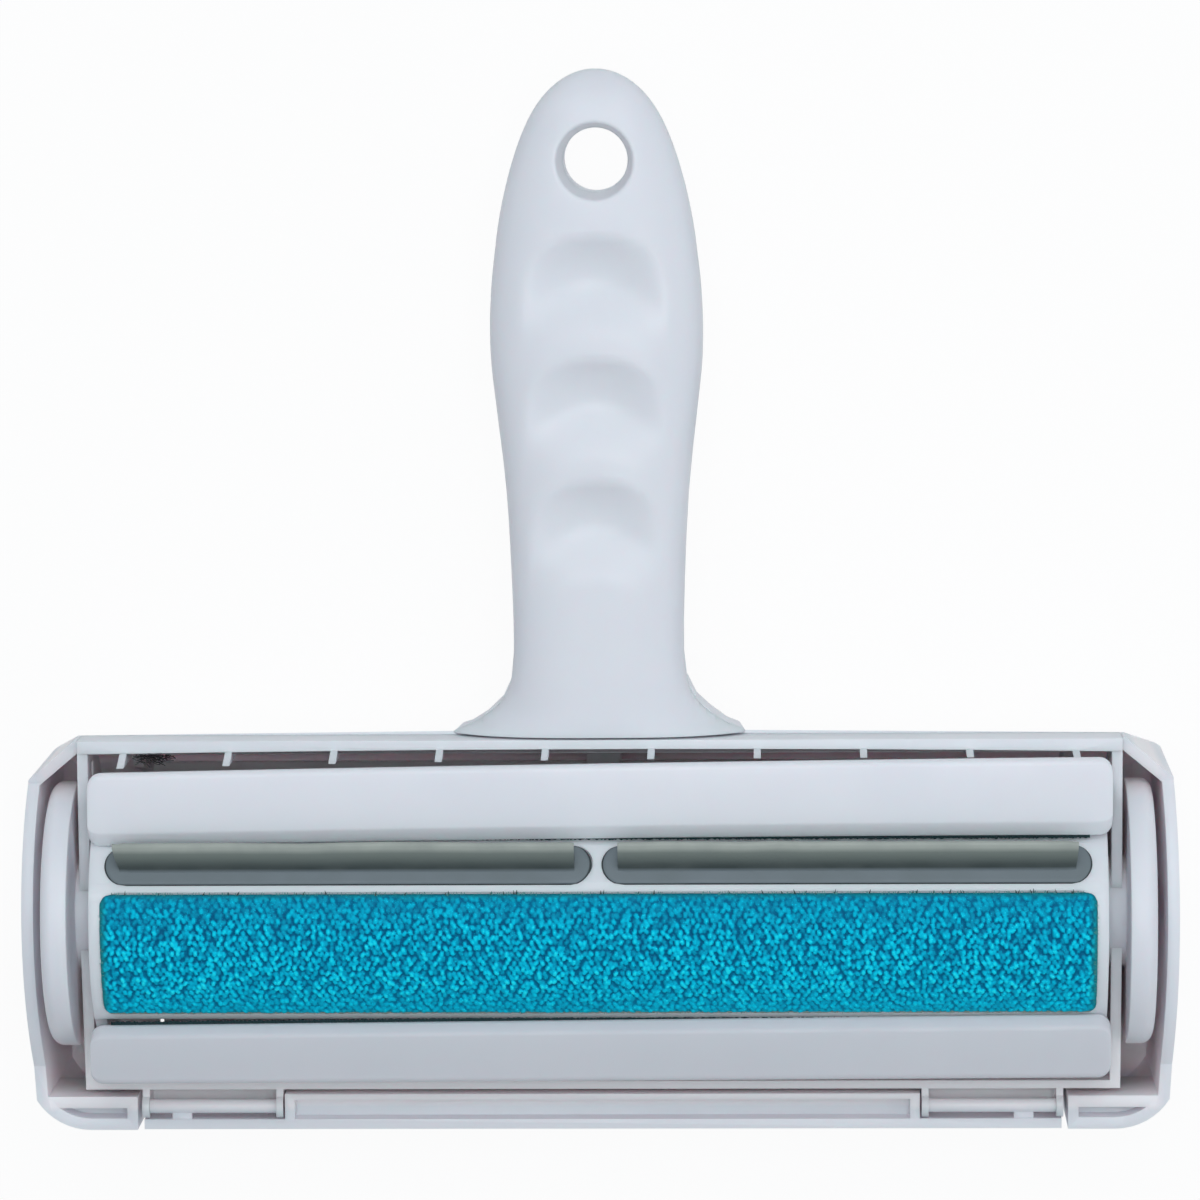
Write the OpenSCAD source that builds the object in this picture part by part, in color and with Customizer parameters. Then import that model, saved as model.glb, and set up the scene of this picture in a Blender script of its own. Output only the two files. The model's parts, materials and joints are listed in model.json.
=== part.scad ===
// Reusable pet hair brush. A fabric drum rocks between two guide bars in a moulded head,
// and a lid on the back opens to empty the hair out.
// It lies on its flat back with the working face up and the handle toward +Y.
// The drum's axis is the zero line in every module, and in_place() sets the whole on the floor.

/* [Head] */
// Width of the head
head_w = 198; // [194:1:204]
// Room between the drum's end face and the outside of the end wall
end_room = 12.5; // [12.4:0.1:13.5]
// From the drum's axis to the flat back
back_depth = 35.5; // [34.5:0.5:38]
// Wall of the moulded housing
shell_wall = 2; // [1.6:0.1:2.2]
// Rounding where the back meets the far side
back_round = 12; // [10:1:13]
// Slant of the wall on the handle side, in degrees
wall_slant = 11; // [7:1:12]
// Rounding where the back meets that wall
near_round = 6; // [5.5:0.5:7]
// Rounding where the back meets the end walls
end_round = 7; // [5:0.5:9]
// Rounding of the two far corners, seen from the front
corner_round = 11; // [9:0.5:12]
// Slanted corner beside the handle, along the width
corner_cut_x = 9; // [7.5:0.1:9.4]
// Slanted corner beside the handle, along the length
corner_cut_y = 7.8; // [5.5:0.1:8.2]
// Radius of the slight bow of the end walls
end_bow = 450; // [350:10:600]
// Height of the end wall's arched rim over the drum's axis
rim_crown = 13; // [12:0.5:15]
// Height of the low rim at the far side
rim_low = 5; // [4.9:0.1:5.6]
// Height of the seam between the housing and what sits on it
seam = 1; // [0.6:0.1:1.4]
// Width of the corner pockets' walls
pocket_wall = 1.8; // [1.5:0.1:2]

/* [Frame] */
// Height of the frame's front rim beside the handle
rim_top = 9; // [8.6:0.2:9.6]
// Thickness of the two partitions
partition_t = 1.8; // [1.5:0.1:1.9]
// Thickness of the frame's wall beside the handle
band_t = 2.2; // [1.9:0.1:2.4]
// Thickness of the frame's far wall
sill_t = 1.4; // [1.2:0.1:1.6]
// Gap between the lower bar and the far wall
sill_gap = 1.9; // [1.7:0.1:2.2]
// Height of the far wall's rim
sill_rim = 4; // [3:0.2:4.4]
// Slot between the upper bar and the wall beside the handle
slot_w = 1.5; // [1.4:0.1:2]
// Thickness of the ribs in this slot
rib_t = 1.2; // [0.8:0.1:1.4]
// Distance of the outermost ribs from the bar's ends
rib_end = 4.95; // [3:0.05:8]
// Number of ribs in the slot
rib_count = 10; // [6:2:10]

/* [Drum] */
// Radius of the drum's moulded shell
drum_r = 21.6; // [21.3:0.1:21.8]
// Wall of the drum's shell
drum_wall = 2.2; // [1.8:0.1:2.6]
// Angle that the drum's shell covers
drum_arc = 160; // [156:1:164]
// Lean of the rubber fins toward the handle at rest
rest_tilt = 32; // [30:1:34]
// Radius of the end discs
disc_r = 22.9; // [22.5:0.1:23.2]
// Thickness of the end discs
disc_t = 4.6; // [4:0.1:4.8]
// Gap between a partition and its end disc
disc_gap = 0.8; // [0.6:0.1:1]
// Radius of the hubs that turn in the partitions
hub_r = 9.6; // [9.4:0.1:9.8]
// Radius of the key that joins a disc to the drum
key_r = 5; // [4.6:0.1:5.4]
// Shank radius of the disc screws
screw_r = 1.4; // [1.2:0.1:1.6]

/* [Fabric and rubber] */
// Thickness of the pile fabric
fabric_t = 1; // [0.9:0.05:1.1]
// Depth of the recess that the fabric is glued in
fabric_sink = 0.6; // [0.5:0.05:0.7]
// Angle that one fabric strip covers on the drum
fabric_arc = 60; // [56:0.5:61]
// Angle from the fins' middle to the strips
fabric_gap = 14.5; // [14:0.5:16]
// Bare end of the drum beside the fabric strips
fabric_end = 2.2; // [2:0.1:4]
// Rounding of the strips' corners
fabric_corner = 3; // [2:0.5:4]
// Width of the rubber pads
pad_w = 6.4; // [5.8:0.1:6.6]
// Bare end of the drum beside the pads
pad_end = 3.2; // [3:0.1:5]
// Gap between the two pads
pad_gap = 1.8; // [1.6:0.1:2.4]
// Height of the rubber fins over the drum's shell
fin_h = 5.2; // [4.4:0.1:5.6]
// Thickness of the fins at their root
fin_t = 1.9; // [1.6:0.1:2.2]

/* [Guide bars] */
// Width of the window between the two bars
window_w = 31.4; // [31.2:0.2:32]
// Width of the upper bar
bar_w = 12.4; // [12.2:0.1:12.6]
// Width of the lower bar
lower_bar_w = 11.4; // [11.2:0.1:11.8]
// Gap between a bar's end and its partition
bar_gap = 1.2; // [1:0.1:2]
// Height of the bars' front face over the drum's axis
bar_front = 17.8; // [17.4:0.1:18]
// Width of the bevel beside the drum
bar_bevel = 2.3; // [1.8:0.1:2.6]
// Drop of this bevel
bevel_drop = 1.3; // [0.8:0.1:1.4]
// Corner rounding of the upper bar
upper_corner = 2.5; // [2:0.5:4]
// Corner rounding of the lower bar
lower_corner = 2.5; // [2:0.5:4]
// Shift of the upper bar's left end toward the drum
upper_shift = 0.6; // [0.5:0.05:0.7]
// Turn of the loosely seated upper bar, in degrees
upper_skew = 0.5; // [0.1:0.05:0.55]
// Gap between the bars and the drum's fabric
wipe_gap = 0.35; // [0.3:0.05:0.4]

/* [Lid and hinge] */
// Width of a corner beside the lid's opening
lid_side = 18.6; // [18.4:0.1:19.4]
// Wall of the lid
lid_wall = 1.7; // [1.5:0.1:2]
// Distance of the lid's latch edge from the head's rim on the handle side
latch_side = 11.8; // [11.4:0.1:12.8]
// Gap between the lid's ends and the housing
lid_gap = 1.1; // [0.8:0.1:1.2]
// Radius of the hinge rods
rod_r = 1.2; // [1:0.05:1.3]
// Distance of the hinge rods from the frame's far wall
hinge_in = 3.1; // [3:0.05:3.2]
// Distance of the hinge rods from the far side of the head
hinge_out = 3.8; // [3.7:0.05:4]
// Height of the hinge rods over the drum's axis
hinge_z = 3.2; // [3.1:0.05:3.4]
// Width of a hinge bay
bay_w = 22; // [20:0.1:22.4]

/* [Handle] */
// Length of the handle from the head to its tip
handle_len = 113.5; // [105:0.5:125]
// Largest width of the handle
handle_w = 36.4; // [34:0.2:38]
// Height of the front half over the seam
grip_front = 8.4; // [8:0.1:9]
// Depth of the back half under the seam
grip_back = 10.4; // [9:0.2:11.5]
// Wall of both handle halves
grip_wall = 2; // [1.7:0.1:2.3]
// Radius of the hanging hole
hole_r = 5.5; // [4.5:0.1:6]
// Distance of the hanging hole from the handle's tip
hole_from_tip = 15.5; // [14.5:0.1:17]
// Depth of the three finger rests
rest_depth = 1.3; // [0.8:0.1:1.6]
// Distance between the finger rests
rest_pitch = 20.8; // [19:0.1:21]

/* [Release button] */
// Width of the button
button_w = 16; // [14:0.2:16.6]
// Height of the button along the handle
button_h = 11; // [10:0.2:11.6]
// Distance of the button's middle from the head
button_from_head = 30.2; // [28:0.2:34]
// Wire radius of the button's spring
wire_r = 0.35; // [0.3:0.05:0.45]

/* [Hidden] */
$fn = 64;

// Reach of helper solids that must pass all the way through the head
past = 60;
// Small side step that keeps two cutting faces apart
step = 0.5;
// Running clearance of a turning fit, and clearance of a seated fit
run_fit = 0.05;
seat_fit = 0.1;

drum_len = head_w - 2 * end_room;
drum_gap = 1.1;
partition_in = drum_len / 2 + drum_gap;
frame_half = partition_in + partition_t;
disc_in = frame_half + disc_gap;

bar_len = 2 * (partition_in - bar_gap);
bar_in = window_w / 2;
bar_out = bar_in + bar_w;
lower_out = bar_in + lower_bar_w;
band_in = bar_out + slot_w;
head_top = band_in + band_t;
sill_in = lower_out + sill_gap;
sill_y = sill_in + sill_t;
hinge_y = sill_y + hinge_in;
head_low = hinge_y + hinge_out;

tip_y = head_top + handle_len;
drum_y = (head_low - tip_y) / 2;

fabric_r = drum_r + fabric_t - fabric_sink;
fabric_chord = round(20 * fabric_r * sin(fabric_arc / 2)) / 10;
lip_r = fabric_r + wipe_gap;
wiper_t = fabric_t;
bar_low = 0.5;
tenon_low = 1;
tenon_t = 2;
tenon_w = 2.4;
tenon_in = 2;
wiper_from = 48;
wiper_to = 74;
fabric_len = drum_len - 2 * fabric_end;
pad_len = drum_len / 2 - pad_end - pad_gap / 2;

well_half = head_w / 2 - lid_side;
lid_half = well_half - lid_gap;
lid_edge = head_top - latch_side;
pocket_floor = 0.4;
pocket_floor_t = 1.4;
rib_depth = 5;
strip_in = head_low - 1.6;
knuckle_r = 2;
bay_out = lid_half - 0.9;
bay_in = bay_out - bay_w;
pocket_half = bay_in - 1.5;
ear_t = 1.2;
tab_out = bay_out - 3.9;
tab_w = 3.4;
tongue_t = 0.7;
tongue_h = 2.5;

stop_half = 7;

screw_head_r = 3.2;
screw_head_t = 2;
screw_end = drum_len / 2 - 7;

hole_y = tip_y - hole_from_tip;
rest_top = hole_y - 13;
section_power = 2 / 3;
section_steps = 16;
cover_steps = 26;
loft_steps = 22;

button_flange = 1.4;
button_shelf = -5.6;
button_plate = 1.4;
spring_low = button_shelf + button_plate;
spring_high = seam + 0.6;
button_y = head_top + button_from_head;
arm_half = 3;
catch_y = lid_edge - 0.9;
catch_top = -25;

white = [0.86, 0.88, 0.91];
pale_grey = [0.76, 0.78, 0.82];
teal = [0.0, 0.6, 0.72];
rubber_grey = [0.46, 0.52, 0.5];
steel = [0.7, 0.71, 0.73];

// Smooth curve through a list of [place, value] pairs
function span(pts, v, i = 0) = (i >= len(pts) - 2 || v < pts[i + 1][0]) ? i : span(pts, v, i + 1);
function pair_slope(pts, a, b) = (pts[b][1] - pts[a][1]) / (pts[b][0] - pts[a][0]);
function slope(pts, k) = pair_slope(pts, max(k - 1, 0), min(k + 1, len(pts) - 1));
function curve(pts, v) =
    let (i = span(pts, v), h = pts[i + 1][0] - pts[i][0], t = (v - pts[i][0]) / h)
    (2 * t ^ 3 - 3 * t ^ 2 + 1) * pts[i][1] + (t ^ 3 - 2 * t ^ 2 + t) * h * slope(pts, i)
    + (3 * t ^ 2 - 2 * t ^ 3) * pts[i + 1][1] + (t ^ 3 - t ^ 2) * h * slope(pts, i + 1);

// Shares of the handle's half width along its length: a flared foot, a waist and a palm swell
back_widths = [
    [-0.09, 1.48], [0, 1.374], [0.0106, 1.22], [0.029, 1.033], [0.0467, 0.923], [0.065, 0.857],
    [0.09, 0.819], [0.138, 0.802], [0.266, 0.824], [0.378, 0.865], [0.486, 0.94], [0.557, 0.989],
    [0.61, 1], [0.6626, 0.989], [0.736, 0.953], [0.879, 0.94], [1.006, 1.016]
];
front_widths = [
    [0, 1.0], [0.0123, 1.01], [0.031, 0.918], [0.058, 0.824], [0.09, 0.798], [0.138, 0.798],
    [0.266, 0.824], [0.378, 0.865], [0.486, 0.94], [0.557, 0.989],
    [0.61, 1], [0.6626, 0.989], [0.736, 0.953], [0.879, 0.94], [1.006, 1.016]
];
front_heights = [[0, 0.952], [0.2, 1], [0.5, 1], [0.7, 0.95], [0.85, 0.85], [1, 0.72]];
back_heights = [[-0.1, 1], [0.3, 0.98], [0.4, 0.95], [0.6, 1], [0.78, 0.93], [0.9, 0.79], [1, 0.69]];
neck_depths = [
    [-0.09, 0.966], [0, 0.82], [0.03, 0.713], [0.06, 0.598], [0.107, 0.406], [0.16, 0.207],
    [0.22, 0.065], [0.3, 0], [1, 0]
];
// The tip is half an ellipse from here on, seen from the front and seen from the side
tip_from = 0.689;
tip_side_from = 0.93;
function tip_share(f, from) = f <= from ? 1 : sqrt(max(0, 1 - ((f - from) / (1 - from)) ^ 2));

function half_width(f, widths) = handle_w / 2 * curve(widths, f) * tip_share(f, tip_from);
function front_height(f) = grip_front * curve(front_heights, f) * tip_share(f, tip_side_from);
function back_height(f) =
    (grip_back * curve(back_heights, f) + (back_depth + seam - grip_back) * curve(neck_depths, f))
    * tip_share(f, tip_side_from);

// Depth of the finger rests at a point of the front face: each begins at an arched edge toward the tip
// and runs out below
rest_half = 12.6;
rest_arch = 8;
rest_edge = 3.2;
rest_fade = 17;
function soft(v) = let (t = min(1, max(0, v))) t * t * (3 - 2 * t);
function rest_at(x, d) = d <= 0 ? 0 :
    soft(d / rest_edge) * (1 - soft((d - rest_edge) / (rest_fade - rest_edge))) * (1 - abs(x / rest_half) ^ 4);
function rest_cut(x, y) = abs(x) >= rest_half ? 0 :
    let (edge = rest_top + 0.6 - rest_arch * (1 - sqrt(1 - (x / rest_half) ^ 2)))
    rest_depth * max([for (k = [0 : 2]) rest_at(x, edge - k * rest_pitch - y)]);

function rounded(v) = sign(v) * abs(v) ^ section_power;
// One ring of a handle half: side 1 is the front half, side -1 the back half
function ring(f, widths, side, inset, n = section_steps) =
    let (
        w = half_width(f, widths) - inset,
        h = (side > 0 ? front_height(f) : back_height(f)) - inset,
        over = inset > 0 ? 1 : 0,
        y = head_top + f * handle_len
    )
    concat(
        over == 0 ? [] : [[w, y, seam - side]],
        [for (k = [0 : n]) let (a = 180 * k / n, x = w * rounded(cos(a)))
            [x, y, seam + side * (h * rounded(sin(a)) - (side > 0 ? rest_cut(x, y) * abs(sin(a)) : 0))]],
        over == 0 ? [] : [[-w, y, seam - side]]
    );
// Places along the handle, closer together at its foot and its tip
function places(from, to, n) = [for (i = [0 : n]) from + (to - from) * (1 - cos(180 * i / n)) / 2];

module loft(rings, side) {
    n = len(rings);
    p = len(rings[0]);
    walls = [for (a = [0 : n - 2], i = [0 : p - 1], t = [0, 1])
        let (j = (i + 1) % p, q = a * p)
        t == 0 ? [q + i, q + j, q + p + j] : [q + i, q + p + j, q + p + i]];
    first = [for (i = [p - 1 : -1 : 0]) i];
    last = [for (i = [0 : p - 1]) (n - 1) * p + i];
    all = concat([first], walls, [last]);
    polyhedron(
        points = [for (r = rings) each r],
        faces = side < 0 ? [for (f = all) [for (i = [len(f) - 1 : -1 : 0]) f[i]]] : all
    );
}

module in_place() translate([0, drum_y, back_depth]) children();
// A section drawn as [y, z] becomes a bar along X
module along_x(len) rotate([90, 0, 90]) linear_extrude(len, center = true) children();
module along_y(len) rotate([90, 0, 0]) linear_extrude(len, center = true) children();
module both_ends() for (s = [0, 1]) mirror([s, 0, 0]) children();
module box(a, b) translate(a) cube(b - a);

module round_rect(w, h, r) {
    square([w - 2 * r, h], center = true);
    square([w, h - 2 * r], center = true);
    for (x = [-1, 1], y = [-1, 1]) translate([x * (w / 2 - r), y * (h / 2 - r)]) circle(r);
}

// The three outlines that make the head's block, each drawn in by inset
module side_profile(inset) {
    lo = -head_low + inset;
    hi = head_top - inset / cos(wall_slant);
    back = -back_depth + inset;
    r = back_round - inset;
    near_r = near_round - inset;
    near_y = head_top - (seam + back_depth - near_round) * tan(wall_slant) - near_round / cos(wall_slant);
    near_z = -back_depth + near_round;
    polygon(concat(
        [[lo + r, past], [hi, past], [hi, seam]],
        [for (k = [0 : 8]) let (a = wall_slant + (90 - wall_slant) * k / 8)
            [near_y + near_r * cos(a), near_z - near_r * sin(a)]],
        [[lo + r, back]]
    ));
    translate([lo, back + r]) square([r + 1, past - back - r]);
    translate([lo + r, back + r]) circle(r);
}

module end_profile(inset) {
    half = head_w / 2 - inset + step;
    back = -back_depth + inset;
    r = end_round - inset + step;
    translate([-half + r, back]) square([2 * (half - r), past - back]);
    translate([-half, back + r]) square([2 * half, past - back - r]);
    for (x = [-half + r, half - r]) translate([x, back + r]) circle(r);
}

module plan_profile(inset) {
    half = head_w / 2 - inset;
    wide = half + step;
    lo = -head_low + inset;
    hi = head_top - inset;
    r = corner_round - inset;
    slant = norm([corner_cut_x, corner_cut_y]);
    cut_x = head_w / 2 - corner_cut_x - inset * (slant - corner_cut_x) / corner_cut_y;
    cut_y = head_top - (inset * slant + (corner_cut_x - inset + step) * corner_cut_y) / corner_cut_x;
    intersection() {
        union() {
            polygon([
                [wide, lo + r], [wide, cut_y], [cut_x, hi], [-cut_x, hi], [-wide, cut_y], [-wide, lo + r]
            ]);
            translate([-wide + r, lo]) square([2 * (wide - r), r + 1]);
            for (s = [-1, 1]) translate([s * (wide - r), lo + r]) circle(r);
        }
        translate([half - end_bow, 0]) circle(end_bow, $fn = 256);
        translate([end_bow - half, 0]) circle(end_bow, $fn = 256);
    }
}

module head_block(inset) intersection() {
    along_x(head_w + past) side_profile(inset);
    translate([0, 0, -past]) linear_extrude(2 * past) plan_profile(inset);
    along_y(4 * past) end_profile(inset);
}

// Arched rim of the end walls, which rises again toward the slanted corners
module end_rim() {
    arch_half = 25;
    arch_y = -1;
    rise = rim_crown - rim_low;
    arch_r = (arch_half ^ 2 + rise ^ 2) / (2 * rise);
    translate([-past, -past]) square([2 * past, past + rim_low]);
    translate([arch_y, rim_crown - arch_r]) circle(arch_r, $fn = 128);
    polygon([[arch_y + arch_half, 0], [arch_y + arch_half, rim_low], [head_top, rim_top - 1.6], [head_top, 0]]);
}

module rim_limit() {
    both_ends() translate([frame_half + seat_fit + past / 2, 0, 0]) along_x(past) end_rim();
    box([-frame_half - seat_fit, -past, -past], [frame_half + seat_fit, past, seam]);
    both_ends() box([well_half, -past, 0], [frame_half + 1, -hinge_y + 2, rim_low]);
}

module hanging_hole() translate([0, hole_y, -past / 2]) cylinder(r = hole_r, h = past);

// Posts that stay standing inside the hollow handle: the tube round the hole and two dowel posts
dowel_places = [0.42, 0.66];
dowel_r = 1.5;
module handle_posts() {
    translate([0, hole_y, -past / 2]) cylinder(r = hole_r + grip_wall, h = past);
    for (f = dowel_places) translate([0, head_top + f * handle_len, -past / 2]) cylinder(r = dowel_r + 1.7, h = past);
}

module button_outline(grow) round_rect(button_w + 2 * grow, button_h + 2 * grow, button_h / 2 + grow - 0.01);
module button_column(grow, from, to) translate([0, button_y, from]) linear_extrude(to - from) button_outline(grow);

module back_handle() loft([for (f = concat([-0.088, -0.04], places(0, 0.9995, loft_steps)))
    ring(f, back_widths, -1, 0)], -1);
module back_hollow() loft([for (f = places(0, 0.975, loft_steps - 8))
    ring(f, front_widths, -1, grip_wall)], -1);

module housing() in_place() color(white) difference() {
    union() {
        difference() {
            intersection() {
                head_block(0);
                rim_limit();
            }
            head_block(shell_wall);
        }
        // pockets in the two far corners, and the ribs beside the lid
        both_ends() intersection() {
            head_block(0);
            union() {
                box([well_half, -hinge_y, -12], [head_w / 2, -hinge_y + 2, rim_low]);
                box([well_half, -past, -past], [well_half + pocket_wall, -hinge_y + 2, rim_low]);
                box([well_half, -past, pocket_floor - pocket_floor_t], [head_w / 2, -hinge_y + 2, pocket_floor]);
                difference() {
                    box([well_half, -past, -past], [well_half + pocket_wall, past, -14]);
                    head_block(rib_depth);
                }
            }
        }
        // sill beside the lid's latch edge
        intersection() {
            difference() {
                head_block(0);
                head_block(rib_depth);
            }
            box([-well_half - 1, lid_edge + 0.3, -past], [well_half + 1, lid_edge + 2.1, -back_depth + rib_depth]);
        }
        difference() {
            union() {
                back_handle();
            }
            head_block(shell_wall);
            difference() {
                back_hollow();
                handle_posts();
                button_column(button_flange + 1.2, -30, button_shelf - 0.05);
            }
            translate([-past, -past, seam]) cube(2 * past);
        }
    }
    // rebate that takes the frame's tongue
    box([-frame_half - seat_fit, 0, seam - tongue_h - seat_fit],
        [frame_half + seat_fit, band_in + tongue_t + seat_fit, past]);
    // opening for the lid
    box([-well_half, -past, -past], [well_half, lid_edge + 0.3, past]);
    // window for the button's arm
    box([-arm_half - 1, lid_edge + 3.4, -25], [arm_half + 1, head_top + 0.5, -16.8]);
    button_column(0.15, -30, 0);
    hanging_hole();
    hole_rim(-1);
    for (f = dowel_places)
        translate([0, head_top + f * handle_len, seam - 6]) cylinder(r = dowel_r + run_fit, h = past);
}

module hole_rim(side) translate([0, hole_y, seam + side * (side > 0 ? grip_front : grip_back) * 0.84])
    mirror([0, 0, side > 0 ? 0 : 1]) translate([0, 0, -1.3]) cylinder(r1 = hole_r, r2 = hole_r + 3, h = 3);

module dowels() for (f = dowel_places)
    translate([0, head_top + f * handle_len, seam - 5.5]) cylinder(r = dowel_r, h = 8);

// The front half's rings stand closer together where the finger rests lie
rest_from = (rest_top - 3 * rest_pitch - head_top) / handle_len;
rest_to = (rest_top + 1.6 - head_top) / handle_len;
rest_rings = 34;
cover_places = concat(
    [0.0013, 0.012, 0.025, 0.04, 0.06, 0.085, 0.12],
    [for (k = [0 : rest_rings]) rest_from + (rest_to - rest_from) * k / rest_rings],
    [0.79, 0.83, 0.87, 0.9, 0.93, 0.955, 0.972, 0.985, 0.993, 0.9975, 0.9995]
);

module handle_cover() in_place() color(white) difference() {
    union() {
        difference() {
            loft([for (f = cover_places) ring(f, front_widths, 1, 0, cover_steps)], 1);
            difference() {
                loft([for (f = places(0, 0.975, loft_steps - 6)) ring(f, front_widths, 1, grip_wall)], 1);
                handle_posts();
                translate([0, button_y, spring_high]) cylinder(r = 4.4, h = past);
            }
        }
        dowels();
        // pin that keeps the button's spring in place
        translate([0, button_y, seam - 2]) cylinder(r = 2, h = 5);
    }
    hanging_hole();
    hole_rim(1);
}

// Frame that carries the drum and both bars
module partition_profile() difference() {
    union() {
        polygon([
            [band_in + 0.2, rim_top], [5.2, 8.2], [0, 8.2], [-5.2, 8.2], [-sill_y + 0.8, sill_rim],
            [-sill_y, sill_rim - 0.8], [-sill_y, -5], [-22, -13], [22, -13], [band_in - 2.4, -7.5],
            [band_in - 0.7, -0.8], [band_in + 0.2, seam + 0.2]
        ]);
    }
    circle(hub_r + run_fit);
    translate([-5.2, 0]) square([10.4, 20]);
    // seats of the bars' tenons
    for (y = [[-lower_out + tenon_in, tenon_w], [bar_out - upper_shift - tenon_in - tenon_w, tenon_w + 1.5]])
        translate([y[0] - tenon_fit, tenon_low - 0.2]) square([y[1] + 2 * tenon_fit, tenon_t + 0.4]);
}
tenon_fit = 0.4;

module roller_frame() in_place() color(white) {
    difference() {
        union() {
            both_ends() translate([(frame_half + partition_in) / 2, 0, 0]) along_x(partition_t) partition_profile();
            box([-frame_half, band_in, seam], [frame_half, head_top, rim_top]);
            box([-frame_half, band_in, seam - tongue_h], [frame_half, band_in + tongue_t, seam]);
            // far wall
            box([-frame_half, -sill_y, -5], [frame_half, -sill_y + sill_t, sill_rim]);
            // ribs in the slot
            for (k = [0 : rib_count - 1]) {
                x = (k / (rib_count - 1) - 0.5) * (bar_len - 2 * rib_end);
                y = bar_out - upper_shift + (x + bar_len / 2) * tan(upper_skew) + 0.3;
                box_yz(x - rib_t / 2, x + rib_t / 2,
                    [[y, seam - 2], [band_in + 0.2, seam - 2], [band_in + 0.2, rim_top - 0.4], [y, bar_front - 3.2]]);
            }
            // ears and floors of the two hinge bays
            both_ends() {
                for (x = [bay_in - ear_t, bay_out]) {
                    box([x, -hinge_y, hinge_z - 6], [x + ear_t, -sill_y + 0.2, sill_rim]);
                    translate([x, -hinge_y, hinge_z]) rotate([0, 90, 0]) cylinder(r = knuckle_r, h = ear_t);
                }
                box([bay_in - ear_t, -strip_in + 0.4, hinge_z - 7.2], [bay_out + ear_t, -sill_y + 0.2, hinge_z - 6]);
            }
        }
        both_ends() translate([bay_in - 3, -hinge_y, hinge_z]) rotate([0, 90, 0])
            cylinder(r = rod_r + run_fit, h = bay_w + 6);
    }
    // bosses that stop the drum at both ends of its rocking
    both_ends() translate([partition_in - 1.5, 0, 0]) along_x(3 + 0.4) intersection() {
        difference() {
            circle(19);
            circle(13);
        }
        polygon([[0, 0], [-30 * sin(stop_half), -30 * cos(stop_half)], [30 * sin(stop_half), -30 * cos(stop_half)]]);
    }
}

// Section of a bar between two distances from the drum's axis, with its hollow facing back
module bar_profile(near, far) difference() {
    polygon([
        [near, bar_low], [near, bar_front - bevel_drop], [near + bar_bevel, bar_front],
        [far - 1, bar_front], [far, bar_front - 1], [far, bar_low]
    ]);
    circle(lip_r);
    intersection() {
        circle(lip_r + wiper_t + run_fit);
        polygon([[0, 0], [60 * sin(wiper_from - 0.3), 60 * cos(wiper_from - 0.3)],
            [60 * sin(wiper_to + 0.3), 60 * cos(wiper_to + 0.3)]]);
    }
}

module bar_hollow(near, far) difference() {
    polygon([
        [near, bar_low - 1], [near, bar_front - 2], [far - 1.6, bar_front - 2], [far - 1.6, bar_low - 1]
    ]);
    circle(lip_r + wiper_t + 1.5);
}

module bar(near, far, corner) {
    difference() {
        intersection() {
            along_x(bar_len) bar_profile(near, far);
            translate([0, (far + near) / 2, -past]) linear_extrude(2 * past)
                round_rect(bar_len, far - near, corner);
        }
        along_x(bar_len - 2 * corner - 1) bar_hollow(near, far);
    }
    // tenons that sit in the partitions
    both_ends() box([bar_len / 2 - 5, far - tenon_in - tenon_w, tenon_low], [frame_half, far - tenon_in, tenon_low + tenon_t]);
}

module skewed() translate([-bar_len / 2, 0, 0]) rotate([0, 0, upper_skew]) translate([bar_len / 2, 0, 0]) children();

module wiper() along_x(bar_len - 8) intersection() {
    difference() {
        circle(lip_r + wiper_t);
        circle(lip_r);
    }
    polygon([[0, 0], [60 * sin(wiper_from), 60 * cos(wiper_from)], [60 * sin(wiper_to), 60 * cos(wiper_to)]]);
}

module upper_guide_bar() in_place() color(white) skewed()
    bar(bar_in - upper_shift, bar_out - upper_shift, upper_corner);
module lower_guide_bar() in_place() color(pale_grey) mirror([0, 1, 0]) bar(bar_in, lower_out, lower_corner);
module upper_wiper_strip() in_place() color(teal) skewed() wiper();
module lower_wiper_strip() in_place() color(teal) mirror([0, 1, 0]) wiper();

// The drum and everything on it is drawn with the fins upright and then leaned to rest
module at_rest() rotate([-rest_tilt, 0, 0]) children();
module sector(half, reach) polygon([
    [0, 0], [-reach * sin(half), -reach * cos(half)], [0, -2 * reach], [reach * sin(half), -reach * cos(half)]
]);

// Outline of a fabric strip, cut straight toward the drum's axis; it reaches from the axis outward
module fabric_column(side, grow) rotate([-side * (fabric_gap + fabric_arc / 2), 0, 0])
    linear_extrude(past) round_rect(fabric_len + 2 * grow, fabric_chord + 2 * grow, fabric_corner + grow);
module pad_column(grow) linear_extrude(past) both_ends() translate([(pad_gap + pad_len) / 2, 0])
    round_rect(pad_len + 2 * grow, pad_w + 2 * grow, pad_w / 2 + grow - 0.01);

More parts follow.
